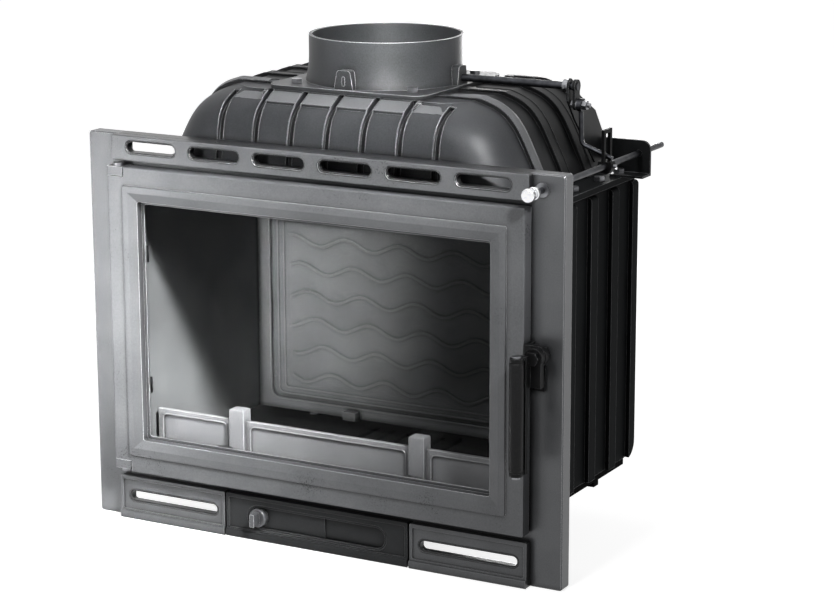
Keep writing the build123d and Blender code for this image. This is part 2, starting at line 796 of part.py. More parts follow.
def make_damper_stay():
    # Folded sheet: a cheek that carries the shaft and a back that carries the control rod.
    t = stay_thickness
    # Around the shaft first, then down the slope to the fold and back along the sill
    near_shaft = [(-10, -17), (-10, -7), (-7, 6), (-1, 10), (6, 6), (27, -16)]
    outline = [(flue_y + y, shaft_z + z) for y, z in near_shaft]
    outline += [(stay_y - 28, stay_top + 40), (stay_y - 5, stay_top + 9), (stay_y, stay_top),
                (stay_y, stay_sill), (stay_y - 27, stay_sill), (flue_y + 12, shaft_z - 45)]
    cheek = profile_x(outline, stay_x, stay_x + t)
    back = upright(stay_x, stay_right, stay_sill, stay_top, stay_y, stay_y + t)
    back += upright(stay_foot_left, stay_right, flange_top, stay_sill, stay_y, stay_y + t)
    corner = back.edges().filter_by(Axis.Y).sort_by(lambda e: e.center().X + e.center().Z)[-1]
    back = fillet(corner, 12)
    foot = block(stay_foot_left, stay_right, stay_y - stay_foot_depth, stay_y, flange_top,
                 flange_top + t)
    stay = cheek + back + foot
    stay -= rod_along_x(stay_x, stay_x + t, flue_y, shaft_z, shaft_radius + running_gap)
    stay -= rod_along_y(stay_y, stay_y + t, rod_x, rod_z, rod_radius + running_gap)
    x, y = stay_bolt
    return stay - rod_along_z(flange_top, flange_top + t, x, y, bolt_radius)


stay_bolt = (body_half_width - 4.0, stay_y - stay_foot_depth / 2)


def make_stay_bolt():
    x, y = stay_bolt
    top = flange_top + stay_thickness
    head = hexagon_along_z(top, top + bolt_head, x, y, bolt_flats)
    shank = rod_along_z(flange_top - tapped_depth, top, x, y, bolt_radius)
    return head + shank


# Body


def toe_cut(x0, x1):
    # What the round lower rear edge takes from the walls and the lining.
    front = body_back - toe_radius
    axis_z = floor_z + toe_radius
    corner = block(x0, x1, front, body_back, floor_z, axis_z)
    return corner - rod_along_x(x0, x1, front, axis_z, toe_radius)


def make_side_wall(side):
    shell = block(inner_side, body_half_width, face_plate, body_back, floor_z, wall_top)
    for index in range(side_ribs):
        y = rib_first_y + index * rib_pitch
        last = min(y + rib_width / 2, body_back)
        rib = block(body_half_width, body_half_width + rib_proud, y - rib_width / 2, last,
                    floor_z, wall_top - 4)
        crown = rib.edges().filter_by(Axis.Y).sort_by(lambda e: e.center().X + e.center().Z)[-1]
        shell += fillet(crown, rib_proud - 0.5)
    shell -= toe_cut(inner_side, body_half_width + rib_proud)
    if side < 0:
        shell = mirror(shell, Plane.YZ)
    return shell


def make_back_wall():
    back = block(-inner_side, inner_side, back_inside, body_back, floor_z, wall_top)
    for index in range(back_ribs):
        x = (index - (back_ribs - 1) / 2) * back_rib_pitch
        back += block(x - rib_width / 2, x + rib_width / 2, body_back, body_back + rib_proud,
                      floor_z + toe_radius, wall_top - 8)
    return back - toe_cut(-inner_side, inner_side)


def make_firebox_base():
    base = block(-body_half_width, body_half_width, face_plate, body_back - toe_radius, body_bottom,
                 floor_z)
    half = grate_width / 2
    base -= block(-half - 1, half + 1, grate_front - 1, grate_back + 1, floor_z - 4, floor_z)
    base -= block(-half + 8, half - 8, grate_front + 8, grate_back - 8, body_bottom, floor_z)
    for side in (-1, 1):
        low, high = sorted((side * (body_half_width - 12), side * body_half_width))
        base += block(low, high, 200, 214, body_bottom - 7, body_bottom)
        base -= rod_along_z(body_bottom, floor_z, side * foot_x, foot_y, foot_bolt_radius)
    return base


def dome_section(z, half, front, back, front_radius, back_radius):
    outline = Rectangle(2 * half, back - front)
    front_corners = outline.vertices().group_by(Axis.Y)[0]
    outline = fillet(front_corners, front_radius)
    outline = fillet(outline.vertices().group_by(Axis.Y)[-1], back_radius)
    return Plane(origin=(0, (front + back) / 2, z)) * outline


def dome_body(inset):
    # Smooth bell. Each level gives its share of the rise and how far the side, the front
    # and the back have moved in. A positive inset makes a smaller bell.
    levels = [(0.0, 0.0, 0.0, 0.0), (0.34, 16.0, 0.5, 0.5), (0.60, 31.0, 5.0, 1.5),
              (0.78, 45.0, 14.0, 3.0), (0.91, 64.0, 32.0, 7.0), (1.0, 92.0, 46.0, 14.0)]
    sections = []
    for share, narrow, front_step, back_step in levels:
        z = flange_top + share * (dome_rise - inset) if share else flange_top
        half = dome_foot - narrow - inset
        front = dome_front + front_step + inset
        back = dome_back - back_step - inset
        front_radius = dome_corner - 0.22 * narrow - inset * 0.5
        back_radius = dome_back_corner - inset * 0.5
        sections.append(dome_section(z, half, front, back, front_radius, back_radius))
    return loft([section.face() for section in sections])


def make_dome():
    outer = dome_body(0)
    core = dome_body(groove_depth)
    swell = dome_body(-band_proud)
    # The collar's seat has a bevelled front between the grooves.
    half = collar_plate / 2
    seat_back = flue_y + half
    seat = flat(-half, half, seat_front, seat_back, plateau - 20, plateau, plate_corner)
    seat -= profile_x([(seat_front - 1, plateau - seat_bevel), (flue_y - half, plateau + 0.1),
                       (seat_front - 1, plateau + 9)], -half, half)
    shell = outer + seat
    for index in range(groove_count):
        x = (index - (groove_count - 1) / 2) * groove_pitch
        reach = flue_y - half + 4
        slab = block(x - groove_width / 2, x + groove_width / 2, 0, reach, flange_top,
                     plateau + 5)
        shell -= slab - core
    for index in range(1, side_ribs):
        y = rib_first_y + index * rib_pitch
        for side in (-1, 1):
            low, high = sorted((side * half, side * body_half_width))
            slab = block(low, high, y - rib_width / 2, y + rib_width / 2, flange_top,
                         plateau + 3)
            shell += slab & swell
    shell -= dome_body(dome_wall)
    shell -= rod_along_z(plateau - 40, plateau, 0, flue_y, flue_radius)
    for x in (-collar_bolt_offset, collar_bolt_offset):
        for side in (-collar_bolt_offset, collar_bolt_offset):
            shell -= rod_along_z(plateau - tapped_depth, plateau, x, flue_y + side,
                                 bolt_radius)
    return shell


def make_top_flange():
    # Plate that closes the walls' top edge and carries the dome round its opening.
    edge = body_half_width + rib_proud
    flange = flat(-edge, edge, face_plate, body_back + rib_proud, wall_top, flange_top, 6)
    rim = dome_wall
    flange -= extrude(dome_section(wall_top, dome_foot - rim, dome_front + rim,
                                   dome_back - rim, dome_corner - rim / 2,
                                   dome_back_corner - rim / 2), flange_thickness)
    for x, y in flange_bolt_places:
        flange -= rod_along_z(wall_top, flange_top, x, y, bolt_radius)
    x, y = stay_bolt
    return flange - rod_along_z(flange_top - tapped_depth, flange_top, x, y, bolt_radius)


flange_bolt_x = body_half_width - 10.0
flange_bolt_places = [(side * flange_bolt_x, y) for side in (-1, 1) for y in (34.0, 148.0, 226.0)]


def make_flange_bolt(x, y):
    head = hexagon_along_z(flange_top, flange_top + bolt_head, x, y, bolt_flats)
    shank = rod_along_z(wall_top, flange_top, x, y, bolt_radius)
    return head + shank


# Lining and furniture


def make_side_lining(side):
    low, high = sorted((side * room_side, side * inner_side))
    lining_block = block(low, high, face_plate + 2, back_inside, floor_z, lining_top)
    return lining_block - toe_cut(low, high)


def make_fireback():
    back = block(-room_side, room_side, room_back, back_inside, floor_z, lining_top)
    frame_x = room_side - 20
    sunk = upright(-frame_x, frame_x, floor_z + 15, lining_top - 15, room_back, room_back + 3, 14)
    inner = upright(-frame_x + 14, frame_x - 14, floor_z + 24, lining_top - 24, room_back,
                    room_back + 3, 8)
    back -= sunk - inner
    return back - toe_cut(-room_side, room_side)


def make_fireback_lug(x):
    return block(x - 10, x + 10, room_back - 14, room_back, floor_z, floor_z + 12)


def make_baffle():
    edge = inner_side - 2
    baffle = block(-edge, edge, baffle_front, back_inside, lining_top,
                   lining_top + baffle_thickness)
    return baffle + block(-edge, edge, baffle_front, baffle_front + 9,
                          lining_top + baffle_thickness, lining_top + baffle_thickness + 14)


def make_grate():
    half = grate_width / 2
    grate = block(-half, half, grate_front, grate_back, floor_z - 4, floor_z + 6)
    pitch = grate_width / (grate_slots + 0.6)
    for index in range(grate_slots):
        x = (index - (grate_slots - 1) / 2) * pitch
        grate -= flat(x - grate_slot / 2, x + grate_slot / 2, grate_front + 13, grate_back - 13,
                      floor_z - 4, floor_z + 6, grate_slot / 2 - 0.05)
    return grate


def make_log_fender():
    # One low wall whose three fields between the posts have raised rims.
    y0 = fender_y
    fender = block(-fender_half_width, fender_half_width, y0, y0 + fender_thickness, floor_z,
                   fender_top)
    edges = [-fender_half_width, -post_x - post_width / 2, -post_x + post_width / 2,
             post_x - post_width / 2, post_x + post_width / 2, fender_half_width]
    for left, right in zip(edges[0::2], edges[1::2]):
        fender -= upright(left + 7, right - 7, floor_z + 7, fender_top - 6, y0, y0 + 2, 8)
    return fender


def make_fender_post(side):
    # Each post is slotted from below and straddles the low wall.
    x = side * post_x
    half = post_width / 2
    post = block(x - half, x + half, fender_y - 6, fender_y - 6 + post_depth, floor_z, post_top)
    post = fillet(post.edges().group_by(Axis.Z)[-1], 2.5)
    return post - block(x - half, x + half, fender_y, fender_y + fender_thickness, floor_z,
                        fender_top)


# Ash drawer


plate_front = -bar_proud + pull_depth + seat_gap
guide_front = plate_front + air_plate + seat_gap


def make_drawer_front():
    # The finger recess goes right through; the air plate and its guide form its floor.
    panel = make_lower_panel(-half_drawer, half_drawer, 0.6)
    panel -= slot(0, pull_z, pull_length, pull_height, -bar_proud, 0)
    panel -= slot(0, pull_z, pull_length + 5, pull_height + 5, -bar_proud, -bar_proud + 3)
    return panel - block(-track_half_width, track_half_width, -bar_proud + pull_depth, 0,
                         pull_z - track_height / 2, pull_z + track_height / 2)


def make_air_guide():
    guide = block(-track_half_width, track_half_width, guide_front, 0,
                  pull_z - track_height / 2, pull_z + track_height / 2)
    for x in window_x:
        guide -= rod_along_y(guide_front, 0, x, pull_z, window_radius)
    return guide


def make_air_plate():
    half = track_height / 2 - seat_gap
    plate = block(air_plate_end - air_travel - 22, air_plate_end, plate_front,
                  plate_front + air_plate, pull_z - half, pull_z + half)
    return plate - rod_along_y(plate_front, plate_front + air_plate, knob_x, pull_z,
                               rivet_radius)


def make_air_knob():
    front = -bar_proud - 2
    disc = rod_along_y(front, plate_front, knob_x, pull_z, knob_radius)
    disc = fillet(disc.edges().filter_by(GeomType.CIRCLE).sort_by(Axis.Y)[0], 1.5)
    grip = block(knob_x - 3.3, knob_x + 3.3, front - 13, front, pull_z - 8.5, pull_z + 8.5)
    grip = fillet(grip.edges().filter_by(Axis.Y), 1.5)
    knob = disc + grip
    return knob - rod_along_y(-bar_proud, plate_front, knob_x, pull_z, rivet_radius)


def make_air_rivet():
    return rod_along_y(-bar_proud, plate_front + air_plate, knob_x, pull_z, rivet_radius)


def make_ash_pan():
    outer = block(-pan_half_width, pan_half_width, pan_front, pan_back, pan_bottom, pan_top)
    inner = block(-pan_half_width + sheet, pan_half_width - sheet, pan_front + sheet,
                  pan_back - sheet, pan_bottom + sheet, pan_top)
    pan = outer - inner
    for side in (-1, 1):
        low, high = sorted((side * (pan_half_width - sheet), side * pan_half_width))
        pan += block(low, high, 0, pan_front, pan_bottom + 3, pan_top - 3)
    return pan


def make_ash_box():
    # Sheet-steel channel under the base that the pan runs in, open at the front.
    side = pan_half_width + 5
    top = body_bottom
    floor_top = pan_bottom - seat_gap
    outer = block(-side, side, face_plate, pan_back + 8, floor_top - sheet, top)
    inner = block(-side + sheet, side - sheet, face_plate, pan_back + 8 - sheet, floor_top, top)
    return outer - inner


# Feet


def make_foot(side):
    bolt = rod_along_z(foot_pad, floor_z, side * foot_x, foot_y, foot_bolt_radius)
    pad = rod_along_z(0, foot_pad, side * foot_x, foot_y, foot_pad_radius)
    return bolt + pad


def make_foot_nut(side):
    nut = hexagon_along_z(body_bottom - 10, body_bottom, side * foot_x, foot_y, 19)
    return nut - rod_along_z(body_bottom - 10, body_bottom, side * foot_x, foot_y,
                             foot_bolt_radius)


# Everything is written here

write("front_frame", make_front_frame())
write("top_grille", make_top_grille())
write("lower_panel_left", make_side_panel(-1))
write("lower_panel_right", make_side_panel(1))

write("door_frame", make_door_frame())
write("glass_tape", make_glass_tape())
write("door_glass", make_door_glass())
write("glass_clips", group([at_clip(place, make_glass_clip()) for place in clip_places()]))
write("clip_screws", group([at_clip(place, make_clip_screw()) for place in clip_places()]))
write("door_seal", make_door_seal())
write("hinge_lugs", group([make_hinge_lug(z) for z in (lug_top_z - lug_height, lug_low_z)]))
write("hinge_pins", group([make_hinge_pin(lug_top_z, -1), make_hinge_pin(lug_low_z, 1)]))

write("latch_bracket", make_latch_bracket())
write("bracket_screws", group([make_bracket_screw(z) for z in bracket_screw_z]))
write("latch_lever", make_latch_lever())
write("handle_grip", make_handle_grip())
write("grip_rod", make_grip_rod())
write("latch_bolt", make_latch_bolt())
write("latch_cam", make_latch_cam())
write("latch_nut", make_latch_nut())
write("latch_keeper", make_latch_keeper())

write("flue_collar", make_collar())
write("collar_bolts", group([make_collar_bolt(x, flue_y + y)
                             for x in (-collar_bolt_offset, collar_bolt_offset)
                             for y in (-collar_bolt_offset, collar_bolt_offset)]))
write("damper_blade", make_damper_blade())
write("damper_shaft", make_damper_shaft())
write("shaft_collar", make_shaft_collar())
write("damper_crank", make_damper_crank())
write("lever_bolt", make_lever_bolt())
write("damper_lever", make_damper_lever())
write("rod_driver", make_rod_driver())
write("driver_screw", make_driver_screw())
write("control_rod", make_control_rod())
write("control_knob", make_control_knob())
write("rod_bush", make_rod_bush())
write("damper_stay", make_damper_stay())
write("stay_bolt", make_stay_bolt())

write("side_wall_left", make_side_wall(-1))
write("side_wall_right", make_side_wall(1))
write("back_wall", make_back_wall())
write("firebox_base", make_firebox_base())
write("firebox_dome", make_dome())
write("top_flange", make_top_flange())
write("flange_bolts", group([make_flange_bolt(x, y) for x, y in flange_bolt_places]))

write("side_lining_left", make_side_lining(-1))
write("side_lining_right", make_side_lining(1))
write("fireback", make_fireback())
write("fireback_lugs", group([make_fireback_lug(x) for x in (-fireback_lug_x, fireback_lug_x)]))
write("baffle_plate", make_baffle())
write("grate", make_grate())
write("log_fender", make_log_fender())
write("fender_posts", group([make_fender_post(side) for side in (-1, 1)]))

write("drawer_front", make_drawer_front())
write("ash_pan", make_ash_pan())
write("ash_box", make_ash_box())
write("air_guide", make_air_guide())
write("air_plate", make_air_plate())
write("air_knob", make_air_knob())
write("air_rivet", make_air_rivet())

write("levelling_feet", group([make_foot(side) for side in (-1, 1)]))
write("foot_nuts", group([make_foot_nut(side) for side in (-1, 1)]))
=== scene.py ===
import json
import math

import bmesh
import bpy
import numpy as np
from mathutils import Matrix, Vector
from mathutils.bvhtree import BVHTree


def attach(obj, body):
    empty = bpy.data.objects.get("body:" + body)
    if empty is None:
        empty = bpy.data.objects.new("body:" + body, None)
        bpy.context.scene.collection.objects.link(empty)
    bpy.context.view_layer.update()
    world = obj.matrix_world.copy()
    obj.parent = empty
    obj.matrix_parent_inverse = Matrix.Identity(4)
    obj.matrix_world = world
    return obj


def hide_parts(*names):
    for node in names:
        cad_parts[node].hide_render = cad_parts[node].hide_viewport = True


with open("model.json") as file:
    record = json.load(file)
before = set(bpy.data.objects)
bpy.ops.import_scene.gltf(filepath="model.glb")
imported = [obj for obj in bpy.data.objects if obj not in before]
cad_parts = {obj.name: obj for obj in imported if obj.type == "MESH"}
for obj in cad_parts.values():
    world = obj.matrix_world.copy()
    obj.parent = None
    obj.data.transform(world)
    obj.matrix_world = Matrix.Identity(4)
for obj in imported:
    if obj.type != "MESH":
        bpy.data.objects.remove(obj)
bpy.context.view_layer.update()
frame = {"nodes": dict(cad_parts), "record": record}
nodes = frame["nodes"]
slotOf = {part["node"]: part["material_slot"] for part in frame["record"]["subparts"]}
mm = 0.001
print("frame loaded:", len(nodes), "nodes")


# Small helpers

def linear(text):
    # sRGB hex to the linear colour that the shader wants
    values = [int(text[i:i + 2], 16) / 255 for i in (1, 3, 5)]
    return [v / 12.92 if v <= 0.04045 else ((v + 0.055) / 1.055) ** 2.4 for v in values] + [1.0]


def feed(tree, node, inputs):
    # Gives each named input its value, or links it to the output that drives it.
    for name, value in inputs.items():
        socket = node.inputs[name]
        if isinstance(value, bpy.types.NodeSocket):
            tree.links.new(value, socket)
        else:
            socket.default_value = value


def addNode(tree, kind, inputs=None, stops=None, **settings):
    # One node with its settings, its inputs, and the two stops of a colour ramp.
    node = tree.nodes.new(kind)
    for name, value in settings.items():
        setattr(node, name, value)
    feed(tree, node, inputs or {})
    if stops:
        for element, (place, colour) in zip(node.color_ramp.elements, stops):
            element.position = place
            element.color = linear(colour)
    return node


def addObject(name, data):
    piece = bpy.data.objects.new(name, data)
    bpy.context.scene.collection.objects.link(piece)
    return piece


def meshFrom(name, shape):
    # Turns a finished bmesh into a mesh whose faces point outwards.
    bmesh.ops.recalc_face_normals(shape, faces=shape.faces)
    mesh = bpy.data.meshes.new(name)
    shape.to_mesh(mesh)
    shape.free()
    return mesh


def settle(piece, name):
    # Turns a piece with live modifiers into a plain mesh.
    seen = piece.evaluated_get(bpy.context.evaluated_depsgraph_get())
    mesh = bpy.data.meshes.new_from_object(seen)
    mesh.name = name
    old = piece.data
    piece.modifiers.clear()
    piece.data = mesh
    bpy.data.meshes.remove(old)


def finishPiece(piece, body, material=None, sharp=34, replaces=()):
    # Smooth shading up to the sharp angle in degrees, then the piece's body and slot.
    mesh = piece.data
    if material is not None:
        mesh.materials.clear()
        mesh.materials.append(material)
    for face in mesh.polygons:
        face.use_smooth = True
    mesh.set_sharp_from_angle(angle=math.radians(sharp))
    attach(piece, body)
    for node in replaces:
        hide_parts(node)


# Materials

def startMaterial(name):
    # An empty material: its tree, its shader and the place on the object that patterns read.
    material = bpy.data.materials.new(name)
    material.use_nodes = True
    tree = material.node_tree
    tree.nodes.clear()
    output = addNode(tree, "ShaderNodeOutputMaterial")
    shader = addNode(tree, "ShaderNodeBsdfPrincipled")
    tree.links.new(shader.outputs["BSDF"], output.inputs["Surface"])
    place = addNode(tree, "ShaderNodeTexCoord").outputs["Object"]
    return material, tree, shader, place


def bareAndHighlitEdges(tree, rounded, stops, share):
    # How bare and how lit an arris is: the share of wear and painted highlight where the rounded
    # normal leaves the face's own.
    facing = addNode(tree, "ShaderNodeNewGeometry")
    match = addNode(tree, "ShaderNodeVectorMath",
                    {0: rounded.outputs["Normal"], 1: facing.outputs["Normal"]},
                    operation="DOT_PRODUCT")
    wearAndHighlight = addNode(tree, "ShaderNodeMapRange",
                   {"Value": match.outputs["Value"], "From Min": stops[0], "From Max": stops[1],
                    "To Min": 0.0, "To Max": share})
    return wearAndHighlight.outputs["Result"]


ironPaint = {
    "patch": 70.0,          # mm, slow change of tone over the casting
    "grain": 1.6,           # mm, sand-cast grain, drawn a little coarse so that it shows
    "grainHeight": 0.07,    # mm
    "wearAndHighlightEdge": 1.0,        # mm, width of the rubbed arris with its painted highlight
    "wearAndHighlightStops": (0.985, 0.87),  # match of the normals on a whole face and on a bare, highlit arris
    "corner": 8.0,          # mm, how far the painted shade reaches out of an inner corner
    "cornerTone": 0.12,     # what is left of the tone under the painted shade deep in a corner
    "openShare": 0.95,      # how open a face has to be to stay free of painted shade
}


def castIronPaint(name, tones, roughness, metallic, wearAndHighlightShare=1.0, specular=0.5, cornerFrom=0.42,
                  fade=None, fadeWithin=1.0):
    # Sand-cast grey iron under satin heat-resistant paint: soft sheen, fine grain, rubbed edges
    # lightened as a painted highlight, and painted shade in inner corners. A fade paints shade,
    # darkening it from one depth in mm to another, down to a share of its tone, as far aside as
    # fadeWithin in metres.
    material, tree, shader, place = startMaterial(name)
    dark, light, edge = tones
    patches = addNode(tree, "ShaderNodeTexNoise",
                      {"Vector": place, "Scale": 1 / (ironPaint["patch"] * mm), "Detail": 3.0,
                       "Roughness": 0.5})
    grain = addNode(tree, "ShaderNodeTexNoise",
                    {"Vector": place, "Scale": 1 / (ironPaint["grain"] * mm), "Detail": 2.0,
                     "Roughness": 0.6})
    tone = addNode(tree, "ShaderNodeMath", {0: patches.outputs["Fac"], 1: grain.outputs["Fac"]},
                   operation="ADD")
    half = addNode(tree, "ShaderNodeMath", {0: tone.outputs[0], 1: 0.5}, operation="MULTIPLY")
    colour = addNode(tree, "ShaderNodeValToRGB", {"Fac": half.outputs[0]},
                     stops=[(0.36, dark), (0.64, light)])
    rounded = addNode(tree, "ShaderNodeBevel", {"Radius": ironPaint["wearAndHighlightEdge"] * mm}, samples=8)
    mixed = addNode(tree, "ShaderNodeMix",
                    {"Factor": bareAndHighlitEdges(tree, rounded, ironPaint["wearAndHighlightStops"], wearAndHighlightShare),
                     6: colour.outputs["Color"], 7: linear(edge)}, data_type="RGBA")
    # Painted shade: the colour darkens in inner corners, where shade falls.
    shade = addNode(tree, "ShaderNodeAmbientOcclusion", {"Distance": ironPaint["corner"] * mm},
                    samples=4)
    paintedCornerShade = addNode(tree, "ShaderNodeMapRange",
                    {"Value": shade.outputs["AO"], "From Min": cornerFrom,
                     "From Max": ironPaint["openShare"], "To Min": ironPaint["cornerTone"],
                     "To Max": 1.0})
    painted = addNode(tree, "ShaderNodeMix",
                      {"Factor": 1.0, 6: mixed.outputs[2], 7: paintedCornerShade.outputs["Result"]},
                      data_type="RGBA", blend_type="MULTIPLY")
    # Painted shade: the fade darkens the colour from one depth to another.
    if fade is not None:
        axes = addNode(tree, "ShaderNodeSeparateXYZ", {"Vector": place})
        fadedShade = addNode(tree, "ShaderNodeMapRange",
                        {"Value": axes.outputs["Y"], "From Min": fade[0] * mm,
                         "From Max": fade[1] * mm, "To Min": 1.0, "To Max": fade[2]},
                        interpolation_type="SMOOTHSTEP")
        aside = addNode(tree, "ShaderNodeMath", {0: axes.outputs["X"]}, operation="ABSOLUTE")
        beyond = addNode(tree, "ShaderNodeMath", {0: aside.outputs[0], 1: fadeWithin},
                         operation="GREATER_THAN")
        kept = addNode(tree, "ShaderNodeMath", {0: fadedShade.outputs["Result"], 1: beyond.outputs[0]},
                       operation="MAXIMUM")
        painted = addNode(tree, "ShaderNodeMix",
                          {"Factor": 1.0, 6: painted.outputs[2], 7: kept.outputs[0]},
                          data_type="RGBA", blend_type="MULTIPLY")
    rough = addNode(tree, "ShaderNodeMapRange",
                    {"Value": half.outputs[0], "From Min": 0.3, "From Max": 0.7,
                     "To Min": roughness - 0.05, "To Max": roughness + 0.06})
    bump = addNode(tree, "ShaderNodeBump",
                   {"Height": grain.outputs["Fac"], "Strength": 0.5,
                    "Distance": ironPaint["grainHeight"] * mm, "Normal": rounded.outputs["Normal"]})
    feed(tree, shader, {"Base Color": painted.outputs[2], "Roughness": rough.outputs["Result"],
                        "Normal": bump.outputs["Normal"], "Metallic": metallic,
                        "Specular IOR Level": specular})
    return material


barStock = {"lines": 0.9, "clouds": 12.0, "lineHeight": 0.03}  # mm


def turnedSteel(name, dark, light, roughness):
    # Drawn or turned steel bar, oiled: fine turning marks and a soft metallic gleam.
    material, tree, shader, place = startMaterial(name)
    lines = addNode(tree, "ShaderNodeTexNoise",
                    {"Vector": place, "Scale": 1 / (barStock["lines"] * mm), "Detail": 2.0})
    clouds = addNode(tree, "ShaderNodeTexNoise",
                     {"Vector": place, "Scale": 1 / (barStock["clouds"] * mm), "Detail": 3.0})
    colour = addNode(tree, "ShaderNodeValToRGB", {"Fac": clouds.outputs["Fac"]},
                     stops=[(0.35, dark), (0.65, light)])
    rough = addNode(tree, "ShaderNodeMapRange",
                    {"Value": lines.outputs["Fac"], "From Min": 0.3, "From Max": 0.7,
                     "To Min": roughness - 0.06, "To Max": roughness + 0.08})
    bump = addNode(tree, "ShaderNodeBump",
                   {"Height": lines.outputs["Fac"], "Strength": 0.25,
                    "Distance": barStock["lineHeight"] * mm})
    feed(tree, shader, {"Base Color": colour.outputs["Color"], "Roughness": rough.outputs["Result"],
                        "Normal": bump.outputs["Normal"], "Metallic": 1.0})
    return material


def polishedChrome(hazeSize=4.0):
    # Chrome-plated knob: near-white metal with faint polishing haze, its size in mm.
    material, tree, shader, place = startMaterial("polishedChrome")
    haze = addNode(tree, "ShaderNodeTexNoise",
                   {"Vector": place, "Scale": 1 / (hazeSize * mm), "Detail": 2.0})
    colour = addNode(tree, "ShaderNodeValToRGB", {"Fac": haze.outputs["Fac"]},
                     stops=[(0.3, "#dddee0"), (0.7, "#f2f2f4")])
    rough = addNode(tree, "ShaderNodeMapRange",
                    {"Value": haze.outputs["Fac"], "To Min": 0.10, "To Max": 0.22})
    feed(tree, shader, {"Base Color": colour.outputs["Color"], "Roughness": rough.outputs["Result"],
                        "Metallic": 1.0})
    return material


# The bare tone lightens rubbed edges as wear and as a painted highlight.
enamel = {
    "clouds": 25.0, "peel": 1.2, "peelHeight": 0.04, "wearAndHighlightEdge": 0.9,  # mm
    "wearAndHighlightStops": (0.998, 0.92), "bareAndHighlightTone": "#8c8d8f",
}


def stovedBlackSteel(name, dark, light, roughness, wearAndHighlightShare, specular):
    # Folded sheet and forged bar with stoved black enamel: smoother than the castings; its rubbed
    # edges are lightened as a painted highlight.
    material, tree, shader, place = startMaterial(name)
    clouds = addNode(tree, "ShaderNodeTexNoise",
                     {"Vector": place, "Scale": 1 / (enamel["clouds"] * mm), "Detail": 3.0})
    peel = addNode(tree, "ShaderNodeTexNoise",
                   {"Vector": place, "Scale": 1 / (enamel["peel"] * mm), "Detail": 1.0})
    colour = addNode(tree, "ShaderNodeValToRGB", {"Fac": clouds.outputs["Fac"]},
                     stops=[(0.35, dark), (0.65, light)])
    rounded = addNode(tree, "ShaderNodeBevel", {"Radius": enamel["wearAndHighlightEdge"] * mm}, samples=4)
    mixed = addNode(tree, "ShaderNodeMix",
                    {"Factor": bareAndHighlitEdges(tree, rounded, enamel["wearAndHighlightStops"], wearAndHighlightShare),
                     6: colour.outputs["Color"], 7: linear(enamel["bareAndHighlightTone"])},
                    data_type="RGBA")
    rough = addNode(tree, "ShaderNodeMapRange",
                    {"Value": clouds.outputs["Fac"], "To Min": roughness - 0.08,
                     "To Max": roughness + 0.08})
    bump = addNode(tree, "ShaderNodeBump",
                   {"Height": peel.outputs["Fac"], "Strength": 0.2,
                    "Distance": enamel["peelHeight"] * mm, "Normal": rounded.outputs["Normal"]})
    feed(tree, shader, {"Base Color": mixed.outputs[2], "Roughness": rough.outputs["Result"],
                        "Normal": bump.outputs["Normal"], "Metallic": 0.1,
                        "Specular IOR Level": specular})
    return material


def phenolicGrip(mottleSize=3.0, mottleHeight=0.05):
    # Moulded phenolic resin: black, satin, slightly mottled by the moulding. Sizes in mm.
    material, tree, shader, place = startMaterial("phenolicGrip")
    mottle = addNode(tree, "ShaderNodeTexNoise",
                     {"Vector": place, "Scale": 1 / (mottleSize * mm), "Detail": 3.0})
    colour = addNode(tree, "ShaderNodeValToRGB", {"Fac": mottle.outputs["Fac"]},
                     stops=[(0.3, "#0c0c0d"), (0.7, "#161617")])
    rough = addNode(tree, "ShaderNodeMapRange",
                    {"Value": mottle.outputs["Fac"], "To Min": 0.26, "To Max": 0.40})
    bump = addNode(tree, "ShaderNodeBump",
                   {"Height": mottle.outputs["Fac"], "Strength": 0.15,
                    "Distance": mottleHeight * mm})
    feed(tree, shader, {"Base Color": colour.outputs["Color"], "Roughness": rough.outputs["Result"],
                        "Normal": bump.outputs["Normal"], "Specular IOR Level": 0.15})
    return material


pane = {
    "clearShare": 0.97,  # how much of the light goes straight through, without a reflection
    "haze": 90.0,        # mm
}


def ceramicGlass():
    # Clear glass-ceramic pane, anti-reflection coated: the firebox shows, with a faint reflection.
    material, tree, shader, place = startMaterial("ceramicGlass")
    haze = addNode(tree, "ShaderNodeTexNoise",
                   {"Vector": place, "Scale": 1 / (pane["haze"] * mm), "Detail": 2.0})
    colour = addNode(tree, "ShaderNodeValToRGB", {"Fac": haze.outputs["Fac"]},
                     stops=[(0.3, "#ececec"), (0.7, "#f6f6f6")])
    rough = addNode(tree, "ShaderNodeMapRange",
                    {"Value": haze.outputs["Fac"], "To Min": 0.0, "To Max": 0.03})
    feed(tree, shader, {"Base Color": colour.outputs["Color"], "Roughness": rough.outputs["Result"],
                        "Transmission Weight": 1.0, "IOR": 1.45})
    clear = addNode(tree, "ShaderNodeBsdfTransparent", {"Color": linear("#f8f8f8")})
    rays = addNode(tree, "ShaderNodeLightPath")
    straight = addNode(tree, "ShaderNodeMath",
                       {0: rays.outputs["Is Shadow Ray"], 1: rays.outputs["Is Diffuse Ray"]},
                       operation="MAXIMUM")
    share = addNode(tree, "ShaderNodeMath", {0: straight.outputs[0], 1: pane["clearShare"]},
                    operation="MAXIMUM")
    mixed = addNode(tree, "ShaderNodeMixShader",
                    {0: share.outputs[0], 1: shader.outputs["BSDF"], 2: clear.outputs["BSDF"]})
    output = next(node for node in tree.nodes if node.type == "OUTPUT_MATERIAL")
    tree.links.new(mixed.outputs["Shader"], output.inputs["Surface"])
    return material


knit = {"yarn": 1.1, "loops": 2.4, "height": 0.5}  # mm


